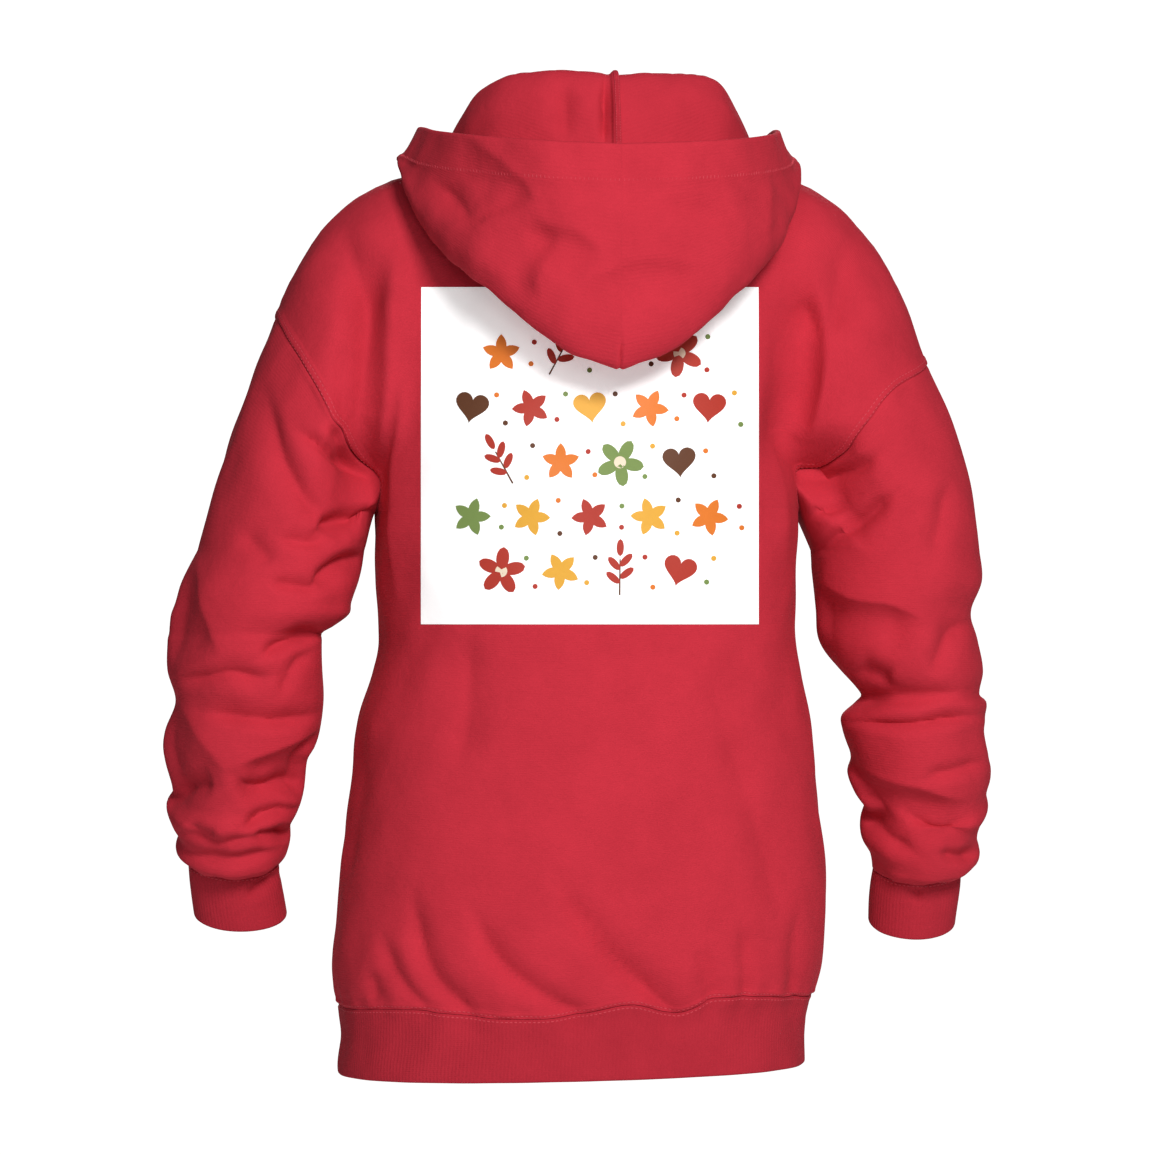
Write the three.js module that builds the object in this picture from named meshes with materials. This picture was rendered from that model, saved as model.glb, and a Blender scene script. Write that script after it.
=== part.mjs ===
// A child's pullover hoodie with its hood down, filled out as if worn, as a hollow cloth form.
// Millimetres. +Z is up, the back faces -Y, the front faces +Y and +X is the photo's right.
// The origin is the middle of the neck opening, where the wearer's neck and shoulders hold it.
import * as THREE from 'three';

// Cloth
const FLEECE_WALL = 2;
const RIB_WALL = 3;
const HEM_EXTRA = 0.8;
const SEAM_GAP = 0.4;

// Levels
const UNDERARM_Z = -199;
const BAND_LEVEL = -505;
const HEM_Z = -546;
const HEM_TILT = 0.018;
const LOFT_END_Z = -225;

// Form: the trunk's squareness, and how the shoulders and upper arms grow out of it
const SECTION_POWER = 2.35;
const SHOULDER_BLEND = 26;
const SHOULDER_START = UNDERARM_Z - 2;
const SHOULDER_FULL = UNDERARM_Z + 55;
const SHOULDER_HELD_OFF = 40;
const SHOULDER_CENTRE = 2.5;
const ARMHOLE_HALF_DEPTH = 62;
const SHOULDER_CROWN = 26;
const PANEL_FULLNESS = 26;
const LEAN_START_Z = -300;
const LEAN_END_Z = -420;
const CUFF_LEAN = 0.46;

// How the hood's cloth rounds each of its turns, back from the neck and up
const HOOD_CLEARANCE = 4;
const HOOD_SHIFT = 5;
const COLLAR_HOLLOW = 2;
const FOLD_REACH = 30;
const FOLD_DROP = 14;
const MIDDLE_HOLLOW = 6;
const BAG_INNER = { back: -7, up: 9 };
const BAG_OUTER = { back: 9, up: 12 };
const RIM_SWELL = 9;

// Lattice: cells across a body panel, up it, round a sleeve, along it, and over the hood
const SHOULDER_CELLS = 6;
const NECK_CELLS = 10;
const LOW_ROWS = 13;
const TOP_ROWS = 11;
const LOFT_RINGS = 7;
const SLEEVE_RINGS = 20;
const CUFF_ROWS = 3;
const BAND_ROWS = 2;
const HOOD_STRIPS = 2;
const HOOD_ROWS = 17;
const HEM_ROWS = 3;
const COLUMNS = 2 * SHOULDER_CELLS + NECK_CELLS;

const BACK = -1;
const FRONT = 1;
const LEFT = -1;
const RIGHT = 1;

// Colours
const FLEECE_RED = '#c4384a';
const RIB_RED = '#b52c3a';

// A lookup in a table with named columns, smooth between the rows, which rise in the first column.
function table(columns, rows) {
  const names = columns.split(' ');
  const slope = (row, c) => {
    const a = rows[Math.max(row - 1, 0)];
    const b = rows[Math.min(row + 1, rows.length - 1)];
    return (b[c] - a[c]) / (b[0] - a[0]);
  };
  return (wanted) => {
    const key = Math.min(Math.max(wanted, rows[0][0]), rows[rows.length - 1][0]);
    let row = 0;
    while (row < rows.length - 2 && key > rows[row + 1][0]) row += 1;
    const span = rows[row + 1][0] - rows[row][0];
    const t = (key - rows[row][0]) / span;
    const found = {};
    names.forEach((name, c) => {
      const rise = (3 - 2 * t) * t * t;
      found[name] = rows[row][c] * (1 - rise) + rows[row + 1][c] * rise
        + span * (slope(row, c) * t * (1 - t) * (1 - t) - slope(row + 1, c) * t * t * (1 - t));
    });
    return found;
  };
}

// The body's sections: half width, and depth to the back and to the front of its side seams.
const torso = table('z half back front centre', [
  [-560, 144, 90, 88, -12],
  [-546, 146, 92, 90, -12],
  [-525, 145, 94, 92, -11],
  [-508, 147, 97, 95, -10.5],
  [-497, 150.5, 101, 99, -9.5],
  [-480, 153, 104, 102, -8],
  [-450, 153, 106, 104, -5.5],
  [-422, 151, 107, 104, -5],
  [-366, 145, 107, 104, -4],
  [-337, 142, 107, 104, -4],
  [-300, 133.5, 107, 104, -2.5],
  [-281, 129.7, 108, 104, -2],
  [-244, 130.6, 109, 105, -3],
  [-199, 131.5, 109, 105, -2.5],
  [-150, 130, 107, 100, -1],
  [-100, 124, 101, 90, 0],
  [-60, 112, 92, 78, 0],
  [-30, 98, 82, 68, 0],
  [0, 84, 72, 62, 0],
  [20, 75, 65, 58, 0],
  [40, 68, 60, 54, 0],
]);

// The line inside each shoulder and upper arm, the radius round it, and its half depth.
const shoulder = table('t x z radius depth', [
  [0, 52, -40, 48, 50],
  [1, 96, -50, 62, 59],
  [2, 118, -64, 64, 62],
  [3, 137, -88, 61, 64],
  [4, 151, -120, 58.5, 65],
  [5, 171, -162, 56.5, 64],
  [6, 189, -199, 55, 62],
  [7, 200, -240, 53, 60],
]);

// The armhole seams, from the underarm to the top of the shoulder.
const armholeLeft = table('t x z', [
  [0, -134, -199],
  [0.12, -139, -183],
  [0.35, -154, -157],
  [0.65, -172, -122],
  [0.85, -185, -99],
  [1, -196, -80],
]);
const armholeRight = table('t x z', [
  [0, 130, -199],
  [0.12, 138, -183],
  [0.35, 158, -162],
  [0.65, 181, -133],
  [0.85, 196, -116],
  [1, 208, -108],
]);

// The neck seam from the back to the front of one side, and where each shoulder seam meets it.
const neckline = table('t x y z', [
  [0, 0, -67, 20],
  [0.25, 37, -60, 20],
  [0.5, 78, -6, 17],
  [0.75, 55, 42, -6],
  [1, 0, 62, -26],
]);

// The sleeves below the loft: outer and inner edge, middle and half depth front to back.
const sleeveLeft = table('z outer inner middle depth', [
  [-440, -251, -191, 38, 24],
  [-422, -252.5, -194, 33, 26],
  [-412, -259, -190, 29, 33],
  [-403, -257, -187.5, 26, 35],
  [-394, -262, -187, 23, 40],
  [-384, -265, -182, 20, 44],
  [-375, -261, -179, 18, 43],
  [-356, -266, -177, 13, 49],
  [-347, -267.5, -172, 11, 51],
  [-337, -266, -169, 9, 51],
  [-319, -259, -167, 5, 50],
  [-300, -264, -167.5, 2, 55],
  [-281, -264, -168, 0, 56],
  [-272, -263, -159, -1, 57],
  [-262, -261, -150, -2, 60],
  [-244, -255, -145.5, -2, 60],
  [-225, -245, -142.5, -1, 61],
]);
const sleeveRight = table('z outer inner middle depth', [
  [-446, 232, 174, 38, 24],
  [-431, 232.5, 174, 35, 25],
  [-422, 240, 175, 32, 30],
  [-412, 244, 174, 29, 34],
  [-403, 242, 169, 26, 36],
  [-394, 244, 169, 23, 38],
  [-384, 249, 171, 21, 43],
  [-375, 247, 167, 19, 42],
  [-356, 250.5, 163, 14, 47],
  [-337, 247, 157.5, 10, 49],
  [-328, 248, 157, 8, 50],
  [-319, 247.5, 166, 6, 48],
  [-315, 243, 169, 5, 47],
  [-300, 245, 155.5, 2, 51],
  [-281, 242, 143, 0, 55],
  [-262, 238, 140, -2, 57],
  [-244, 245, 139, -2, 60],
  [-225, 243, 138, -1, 61],
]);

// Each cuff, from the sleeve seam at 0 to its open end at 1.
const cuffLeft = table('t outer inner z middle depth', [
  [0, -252, -194.5, -419, 33, 22],
  [0.3, -251, -193, -430, 37, 21],
  [1, -248, -189.5, -451, 45, 22],
]);
const cuffRight = table('t outer inner z middle depth', [
  [0, 232.5, 175.5, -423, 34, 22],
  [0.3, 232, 174, -434, 38, 21],
  [1, 229, 173, -456, 46, 22],
]);

// The hood's half, from the centre seam at 0 to the centre front at 1. Each row is one place round
// the neck: the top fold, the bottom of the bag and the rim, as x, y, z.
const hood = table('t foldX foldY foldZ bagX bagY bagZ rimX rimY rimZ', [
  [0, 0, -88, 63, 0, -140, -119, 0, -154, 14],
  [0.14, 38, -84, 65, 36, -137, -104, 43, -148, 16],
  [0.28, 66, -68, 62, 76, -120, -70, 81, -121, 21],
  [0.42, 79, -38, 46, 106, -78, -38, 104, -76, 28],
  [0.56, 82, 0, 32, 118, -28, 2, 111, -24, 35],
  [0.7, 72, 33, 21, 100, 30, 3, 99, 30, 25],
  [0.85, 41, 58, 5, 59, 68, -11, 62, 73, 9],
  [1, 0, 66, -16, 0, 74, -13, 0, 82, -8],
]);

const lerp = (a, b, t) => a + (b - a) * t;
const clamp01 = (t) => Math.min(Math.max(t, 0), 1);

function ease(from, to, value) {
  const t = clamp01((value - from) / (to - from));
  return t * t * (3 - 2 * t);
}

// How far a point lies outside an oval whose half axes are a and b, roughly in millimetres.
function outsideOval(x, y, a, b, power) {
  const ax = Math.abs(x / a);
  const ay = Math.abs(y / b);
  const radius = Math.max((ax ** power + ay ** power) ** (1 / power), 1e-6);
  const steep = Math.hypot(ax ** (power - 1) / a, ay ** (power - 1) / b) * radius ** (1 - power);
  return (radius - 1) / Math.max(steep, 1e-6);
}

const shoulderLine = [];
for (let step = 0; step <= 35; step += 1) shoulderLine.push(shoulder(step / 5));

function outsideShoulder(p) {
  const px = Math.abs(p.x - SHOULDER_CENTRE);
  let best = null;
  for (let i = 0; i + 1 < shoulderLine.length; i += 1) {
    const a = shoulderLine[i];
    const b = shoulderLine[i + 1];
    const dx = b.x - a.x;
    const dz = b.z - a.z;
    const t = clamp01(((px - a.x) * dx + (p.z - a.z) * dz) / (dx * dx + dz * dz));
    const away = Math.hypot(px - a.x - dx * t, p.z - a.z - dz * t);
    if (!best || away < best.away) best = { away, a, b, t };
  }
  const radius = lerp(best.a.radius, best.b.radius, best.t);
  const depth = lerp(best.a.depth, best.b.depth, best.t);
  return outsideOval(best.away, p.y, radius, depth, 2);
}

// The filled-out body as one smooth form: below zero inside, zero on the cloth, above it outside.
function outsideBody(p) {
  const t = torso(p.z);
  const trunk = outsideOval(p.x - t.centre, p.y, t.half, p.y < 0 ? t.back : t.front, SECTION_POWER);
  const joined = ease(SHOULDER_START, SHOULDER_FULL, p.z);
  if (joined === 0) return trunk;
  const arm = outsideShoulder(p) + (1 - joined) * SHOULDER_HELD_OFF;
  const near = Math.max(SHOULDER_BLEND - Math.abs(trunk - arm), 0) / SHOULDER_BLEND;
  return Math.min(trunk, arm) - near * near * SHOULDER_BLEND / 4;
}

function outwards(p) {
  const step = 0.5;
  const probe = (axis) => {
    const high = p.clone();
    const low = p.clone();
    high[axis] += step;
    low[axis] -= step;
    return (outsideBody(high) - outsideBody(low)) / (2 * step);
  };
  return new THREE.Vector3(probe('x'), probe('y'), probe('z'));
}

// Moves a point along the form's slope until it lies the given distance outside the cloth.
function settle(p, distance = 0) {
  const moved = p.clone();
  for (let pass = 0; pass < 10; pass += 1) {
    const slope = outwards(moved);
    const miss = outsideBody(moved) - distance;
    moved.addScaledVector(slope, -miss / Math.max(slope.lengthSq(), 0.05));
  }
  return moved;
}

// Folds, each as it shows from three metres behind the middle of the garment: its half width and
// depth, then the line that it runs along. The garment is turned a little to that view.
const VIEW_DISTANCE = 3000;
const VIEW_TURN = THREE.MathUtils.degToRad(-5);
const VIEW_X = -8;
const VIEW_Z = -242;
const backFolds = [
  { half: 12, deep: 3, line: [[-128, -71], [-128, -121], [-131, -150]] },
  { half: 9, deep: 3, line: [[-163, -93], [-164, -130]] },
  { half: 13, deep: 3, line: [[143, -95], [140, -125], [133, -150]] },
  { half: 13, deep: 3, line: [[135, -54], [152, -74], [158, -110]] },
  { half: 9, deep: 5, line: [[-201, -129], [-191, -163], [-172, -196]] },
  { half: 8, deep: 5, line: [[-222, -207], [-200, -226], [-165, -222]] },
  { half: 9, deep: 7, line: [[-210, -300], [-190, -284], [-168, -276]] },
  { half: 9, deep: 6, line: [[-250, -302], [-225, -303], [-200, -311]] },
  { half: 9, deep: 6, line: [[-238, -330], [-219, -331], [-172, -334]] },
  { half: 9, deep: 6, line: [[-258, -370], [-225, -377], [-205, -379], [-183, -371]] },
  { half: 8, deep: 5, line: [[-252, -384], [-219, -409], [-191, -398]] },
  { half: 9, deep: 5, line: [[202, -116], [199, -155], [194, -183]] },
  { half: 9, deep: 6, line: [[143, -219], [174, -199], [210, -186]] },
  { half: 10, deep: 8, line: [[152, -280], [160, -261], [177, -258], [210, -269]] },
  { half: 8, deep: 8, line: [[165, -317], [172, -306], [182, -304]] },
  { half: 8, deep: 7, line: [[162, -334], [204, -331], [246, -328]] },
  { half: 8, deep: 5, line: [[168, -364], [191, -373], [235, -381]] },
  { half: 8, deep: 5, line: [[188, -398], [238, -396]] },
  { half: 18, deep: 4, line: [[-76, -274], [-78, -328], [-84, -364]] },
  { half: 14, deep: 5, line: [[-18, -435], [-9, -461], [12, -482], [40, -506]] },
  { half: 12, deep: 3.5, line: [[-65, -456], [-48, -480], [-31, -506]] },
  { half: 12, deep: 3, line: [[-110, -450], [-106, -482], [-74, -512]] },
  { half: 22, deep: 3, line: [[77, -310], [105, -396], [118, -450], [117, -469]] },
];
const frontFolds = [
  { half: 12, deep: 3, line: [[-128, -80], [-130, -120], [-130, -150]] },
  { half: 12, deep: 3, line: [[138, -85], [136, -125], [132, -150]] },
  { half: 9, deep: 6, line: [[-235, -226], [-200, -240], [-160, -238]] },
  { half: 9, deep: 7, line: [[-250, -292], [-215, -282], [-175, -290]] },
  { half: 9, deep: 6, line: [[-255, -322], [-220, -332], [-180, -326]] },
  { half: 9, deep: 6, line: [[-255, -364], [-225, -358], [-188, -366]] },
  { half: 8, deep: 5, line: [[-248, -394], [-225, -401], [-198, -393]] },
  { half: 9, deep: 6, line: [[150, -232], [190, -222], [228, -230]] },
  { half: 9, deep: 7, line: [[160, -276], [195, -268], [232, -280]] },
  { half: 8, deep: 7, line: [[168, -320], [205, -312], [242, -320]] },
  { half: 8, deep: 6, line: [[172, -352], [208, -360], [240, -352]] },
  { half: 8, deep: 5, line: [[180, -390], [212, -384], [236, -392]] },
  { half: 16, deep: 4, line: [[50, -300], [62, -360], [76, -430]] },
  { half: 13, deep: 4, line: [[-22, -440], [-4, -470], [-16, -505]] },
  { half: 13, deep: 3.5, line: [[-92, -430], [-80, -470], [-96, -506]] },
];

function seen(p) {
  const across = p.x * Math.cos(VIEW_TURN) + p.y * Math.sin(VIEW_TURN) - VIEW_X;
  const away = VIEW_DISTANCE - p.x * Math.sin(VIEW_TURN) + p.y * Math.cos(VIEW_TURN);
  const grow = VIEW_DISTANCE / away;
  return [VIEW_X + across * grow, VIEW_Z + (p.z - VIEW_Z) * grow];
}

// The reverse: the real x of a place seen at x whose y is known, and the real z likewise.
function unseen(x, y, z) {
  const away = VIEW_DISTANCE - x * Math.sin(VIEW_TURN) + y * Math.cos(VIEW_TURN);
  const share = away / VIEW_DISTANCE;
  const across = (x - VIEW_X) * share + VIEW_X;
  const realX = (across - y * Math.sin(VIEW_TURN)) / Math.cos(VIEW_TURN);
  return [realX, VIEW_Z + (z - VIEW_Z) * share];
}

// How far from a line of points a place lies, and how far along it, from 0 to 1.
function besideLine(x, z, line) {
  let best = { away: Infinity, along: 0 };
  for (let i = 0; i + 1 < line.length; i += 1) {
    const dx = line[i + 1][0] - line[i][0];
    const dz = line[i + 1][1] - line[i][1];
    const t = clamp01(((x - line[i][0]) * dx + (z - line[i][1]) * dz) / (dx * dx + dz * dz));
    const away = Math.hypot(x - line[i][0] - dx * t, z - line[i][1] - dz * t);
    if (away < best.away) best = { away, along: (i + t) / (line.length - 1) };
  }
  return best;
}

// A point of the smooth form, moved in or out by the folds that pass it.
function folded(p, normal) {
  const facing = ease(0.08, 0.5, Math.abs(normal.y));
  if (facing === 0) return p;
  const [x, z] = normal.y < 0 ? seen(p) : [p.x, p.z];
  let depth = 0;
  for (const fold of normal.y < 0 ? backFolds : frontFolds) {
    const { away, along } = besideLine(x, z, fold.line);
    const fade = 0.35 + 0.65 * ease(0, 0.25, along) * ease(0, 0.25, 1 - along);
    depth += fold.deep * fade * Math.exp(-((away / fold.half) ** 2));
  }
  return p.clone().addScaledVector(normal, -depth * facing);
}

// The seam between the body and the waistband rises and falls a little as it goes round.
const bandSeam = table('x z', [
  [-157, -508],
  [-118, -505],
  [-68, -509],
  [-20, -508],
  [15, -501],
  [45, -507],
  [70, -498],
  [136, -502],
]);

function lowerPoint(half, u, z) {
  const t = torso(z);
  const turn = Math.PI * (1 - u);
  const power = 2 / SECTION_POWER;
  const cos = Math.cos(turn);
  const sin = Math.max(Math.sin(turn), 0);
  const depth = half === BACK ? t.back : t.front;
  const x = t.centre + t.half * Math.sign(cos) * Math.abs(cos) ** power;
  return new THREE.Vector3(x, half * depth * sin ** power, z);
}

const ARMHOLE = { [LEFT]: armholeLeft, [RIGHT]: armholeRight };

function armholePoint(side, half, t) {
  const { x, z } = ARMHOLE[side](t);
  if (t <= 0) return lowerPoint(half, side === LEFT ? 0 : 1, UNDERARM_Z);
  const out = ARMHOLE_HALF_DEPTH * Math.sqrt(Math.max(4 * t * (1 - t), 0));
  return settle(new THREE.Vector3(x, half * out, z));
}

function neckPoint(t, side) {
  const { x, y, z } = neckline(t);
  return settle(new THREE.Vector3(side * x, y, z));
}

// The top edge of a panel: shoulder seam, half the neck, the other half, shoulder seam.
function topPoint(half, u) {
  const shoulderPart = SHOULDER_CELLS / COLUMNS;
  const side = u < 0.5 ? LEFT : RIGHT;
  const edge = Math.min(u, 1 - u);
  if (edge < shoulderPart) {
    const t = edge / shoulderPart;
    const outer = armholePoint(side, half, 1);
    const inner = neckPoint(0.5, side);
    const crown = SHOULDER_CROWN * Math.sin(Math.PI * t ** 0.8);
    const between = outer.lerp(inner, t).add(new THREE.Vector3(0, 0, crown));
    return t === 0 ? armholePoint(side, half, 1) : settle(between);
  }
  const round = (edge - shoulderPart) / (0.5 - shoulderPart);
  return neckPoint(half === BACK ? 0.5 - 0.5 * round : 0.5 + 0.5 * round, side);
}

function upperPoint(half, u, v) {
  const low = lowerPoint(half, u, UNDERARM_Z);
  if (v <= 0) return low;
  const high = topPoint(half, u);
  if (v >= 1) return high;
  const left = armholePoint(LEFT, half, v);
  const right = armholePoint(RIGHT, half, v);
  if (u <= 0) return left;
  if (u >= 1) return right;
  const point = low.clone().lerp(high, v);
  const cornerL = lowerPoint(half, 0, UNDERARM_Z).lerp(topPoint(half, 0), v);
  const cornerR = lowerPoint(half, 1, UNDERARM_Z).lerp(topPoint(half, 1), v);
  point.add(left.sub(cornerL).multiplyScalar((1 - u) ** 5));
  point.add(right.sub(cornerR).multiplyScalar(u ** 5));
  point.y += half * PANEL_FULLNESS * Math.sin(Math.PI * v) * Math.sin(Math.PI * u);
  return settle(point);
}

// At the armhole the body and the sleeve share one direction, between the two walls' own. It
// points straight down at the underarm, where they hang side by side.
function armholeNormal(normal, half, column, row) {
  const side = column === 0 ? LEFT : RIGHT;
  const turn = Math.PI * (row - LOW_ROWS) / TOP_ROWS;
  const round = new THREE.Vector3(-side * Math.cos(turn), half * Math.sin(turn), 0);
  const down = new THREE.Vector3(0, 0, -0.25 * (1 + Math.cos(turn)));
  return normal.clone().add(round).add(down).normalize();
}

// Lattices of points, and the outward direction at each, as rows of {point, normal}.
function bodyLattice(half) {
  const rows = [];
  for (let row = 0; row <= LOW_ROWS + TOP_ROWS; row += 1) {
    const cells = [];
    for (let column = 0; column <= COLUMNS; column += 1) {
      const u = column / COLUMNS;
      let point;
      if (row <= LOW_ROWS) {
        const bottom = bandSeam(lowerPoint(half, u, BAND_LEVEL).x).z;
        point = lowerPoint(half, u, lerp(bottom, UNDERARM_Z, row / LOW_ROWS));
      } else {
        const v = (1 - Math.cos(Math.PI * (row - LOW_ROWS) / TOP_ROWS)) / 2;
        point = upperPoint(half, u, v);
      }
      const normal = outwards(point).normalize();
      const edge = column === 0 || column === COLUMNS;
      const cell = { point: folded(point, normal), normal };
      if (edge && row >= LOW_ROWS) cell.normal = armholeNormal(normal, half, column, row);
      cells.push(cell);
    }
    rows.push(cells);
  }
  return rows;
}

const bodyLattices = { [BACK]: bodyLattice(BACK), [FRONT]: bodyLattice(FRONT) };

// The armhole as a loop: underarm, up the back, shoulder, down the front.
function armholeLoop(side) {
  const column = side === LEFT ? 0 : COLUMNS;
  const loop = [];
  for (let i = 0; i < TOP_ROWS; i += 1) loop.push(bodyLattices[BACK][LOW_ROWS + i][column]);
  for (let i = TOP_ROWS; i > 0; i -= 1) loop.push(bodyLattices[FRONT][LOW_ROWS + i][column]);
  return loop;
}

// A ring round a sleeve or cuff. Angle 0 is next to the body, a quarter turn is the back.
function ringPoint(turn, ring, seenZ, lean) {
  const [centre, z] = unseen((ring.outer + ring.inner) / 2, ring.middle, seenZ);
  const reach = (ring.inner - ring.outer) / 2;
  const y = -ring.depth * Math.sin(turn);
  return new THREE.Vector3(centre + reach * Math.cos(turn), ring.middle + y, z + lean * y);
}

const SLEEVE = { [LEFT]: sleeveLeft, [RIGHT]: sleeveRight };
const CUFF = { [LEFT]: cuffLeft, [RIGHT]: cuffRight };
const LOFT_SWELL = { [LEFT]: 3, [RIGHT]: 7 };

function sleeveRing(side, turn, z) {
  const lean = CUFF_LEAN * ease(LEAN_START_Z, LEAN_END_Z, z);
  return ringPoint(turn, SLEEVE[side](z), z, lean);
}

function cuffRing(side, turn, t) {
  const ring = CUFF[side](t);
  return ringPoint(turn, ring, ring.z, CUFF_LEAN);
}

function latticeNormals(points, sideways) {
  const last = points.length - 1;
  return points.map((row, r) => row.map((_, c) => {
    const count = row.length;
    const round = points[r][(c + 1) % count].clone().sub(points[r][(c + count - 1) % count]);
    const along = points[Math.min(r + 1, last)][c].clone().sub(points[Math.max(r - 1, 0)][c]);
    return round.cross(along).normalize().multiplyScalar(sideways);
  }));
}

function sleeveLattice(side) {
  const loop = armholeLoop(side);
  const count = loop.length;
  const turns = loop.map((_, i) => 2 * Math.PI * i / count);
  const points = [loop.map((cell) => cell.point.clone())];
  for (let ring = 1; ring <= LOFT_RINGS; ring += 1) {
    const t = ring / LOFT_RINGS;
    const swell = side * LOFT_SWELL[side] * Math.sin(Math.PI * t);
    points.push(turns.map((turn, i) => loop[i].point.clone()
      .lerp(sleeveRing(side, turn, LOFT_END_Z), t)
      .add(new THREE.Vector3(swell * (1 - Math.cos(turn)) / 2, 0, 0))));
  }
  const endZ = CUFF[side](0).z;
  for (let ring = 1; ring <= SLEEVE_RINGS; ring += 1) {
    const t = ring / SLEEVE_RINGS;
    const z = lerp(LOFT_END_Z, endZ, t);
    points.push(turns.map((turn) => (ring === SLEEVE_RINGS
      ? cuffRing(side, turn, 0) : sleeveRing(side, turn, z))));
  }
  const normals = latticeNormals(points, -side);
  normals[0] = loop.map((cell) => cell.normal.clone());
  return points.map((row, r) => row.map((point, c) => ({
    point: r === 0 || r === points.length - 1 ? point : folded(point, normals[r][c]),
    normal: normals[r][c],
  })));
}

function cuffLattice(side, count) {
  const points = [];
  for (let row = 0; row <= CUFF_ROWS; row += 1) {
    const ring = [];
    for (let i = 0; i < count; i += 1) {
      ring.push(cuffRing(side, 2 * Math.PI * i / count, row / CUFF_ROWS));
    }
    points.push(ring);
  }
  const normals = latticeNormals(points, -side);
  return points.map((row, r) => row.map((point, c) => ({ point, normal: normals[r][c] })));
}

function bandLattice() {
  const rim = bodyLattices[BACK][0].map((cell) => cell.point)
    .concat(bodyLattices[FRONT][0].slice(1, COLUMNS).reverse().map((cell) => cell.point));
  const rows = [];
  for (let row = 0; row <= BAND_ROWS; row += 1) {
    rows.push(rim.map((top, i) => {
      const half = i <= COLUMNS ? BACK : FRONT;
      const u = (i <= COLUMNS ? i : 2 * COLUMNS - i) / COLUMNS;
      const hem = HEM_Z + HEM_TILT * top.x;
      const point = row === 0 ? top.clone() : lowerPoint(half, u, lerp(top.z, hem, row / BAND_ROWS));
      const normal = outwards(point).setZ(0).normalize();
      return { point, normal };
    }));
  }
  return rows;
}

// One curve from the neck seam up over the top fold, down to the bag's bottom and up to the rim.
function hoodLattice(side) {
  const across = HOOD_STRIPS * NECK_CELLS;
  const backNeck = bodyLattices[BACK][LOW_ROWS + TOP_ROWS];
  const frontNeck = bodyLattices[FRONT][LOW_ROWS + TOP_ROWS];
  const middle = COLUMNS / 2;
  const half = NECK_CELLS / 2;
  const neckCell = (i) => (i <= half
    ? backNeck[middle + side * i] : frontNeck[middle + side * (2 * half - i)]);
  const columns = [];
  for (let column = 0; column <= across; column += 1) {
    const low = Math.floor(column / HOOD_STRIPS);
    const high = Math.min(low + 1, NECK_CELLS);
    const part = column / HOOD_STRIPS - low;
    const seam = neckCell(low).point.clone().lerp(neckCell(high).point, part);
    const h = hood(column / across);
    const shift = HOOD_SHIFT * (1 - column / across);
    const spot = (name) => new THREE.Vector3(
      side * h[name + 'X'] + shift, h[name + 'Y'], h[name + 'Z']);
    columns.push(hoodCurve(seam, spot('fold'), spot('bag'), spot('rim'), column / across));
  }
  return columns;
}

function hoodCurve(seam, fold, bag, rim, t) {
  const outwardFold = bag.clone().sub(fold).setZ(0);
  const reach = Math.min(outwardFold.length(), FOLD_REACH);
  outwardFold.normalize();
  const closing = ease(1, 0.75, t);
  const moved = (from, back, up) => from.clone().addScaledVector(outwardFold, back)
    .add(new THREE.Vector3(0, 0, up * closing));
  const points = [
    seam,
    moved(seam.clone().lerp(fold, 0.55), -COLLAR_HOLLOW * closing, 0),
    fold,
    moved(fold, reach / 2, -FOLD_DROP),
    moved(fold.clone().lerp(bag, 0.62), -MIDDLE_HOLLOW * closing, 0),
    moved(bag, BAG_INNER.back * closing, BAG_INNER.up),
    bag,
    moved(bag, BAG_OUTER.back * closing, BAG_OUTER.up),
    moved(bag.clone().lerp(rim, 0.55), RIM_SWELL * closing, 0),
    rim,
  ];
  const curve = new THREE.CatmullRomCurve3(points, false, 'centripetal');
  return curve.getSpacedPoints(HOOD_ROWS);
}

function hoodCells(side) {
  const columns = hoodLattice(side);
  const last = columns.length - 1;
  const points = columns.map((column) => column.map((point, row) => {
    if (row === 0) return point;
    const out = outsideBody(point);
    return out < HOOD_CLEARANCE ? settle(point, HOOD_CLEARANCE) : point;
  }));
  return points.map((column, c) => column.map((point, r) => {
    const round = points[Math.min(c + 1, last)][r].clone().sub(points[Math.max(c - 1, 0)][r]);
    const along = column[Math.min(r + 1, HOOD_ROWS)].clone().sub(column[Math.max(r - 1, 0)]);
    if (c === 0) round.set(side, 0, 0);
    if (c === last) round.set(-side, 0, 0);
    const normal = along.cross(round).normalize().multiplyScalar(-side);
    return { point, normal };
  }));
}

// Moves a lattice's outer rows or columns back from the seam that they lie on.
function backOff(cells, edges) {
  const rows = cells.length - 1;
  const columns = cells[0].length - 1;
  const moves = [];
  cells.forEach((row, r) => row.forEach((cell, c) => {
    const move = new THREE.Vector3();
    const towards = (other) => move.add(
      other.point.clone().sub(cell.point).setLength(SEAM_GAP / 2));
    if (r === 0 && edges.first) towards(cells[1][c]);
    if (r === rows && edges.last) towards(cells[rows - 1][c]);
    if (c === 0 && edges.left) towards(row[1]);
    if (c === columns && edges.right) towards(row[columns - 1]);
    moves.push([cell, move]);
  }));
  for (const [cell, move] of moves) cell.point = cell.point.clone().add(move);
  return cells;
}

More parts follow.
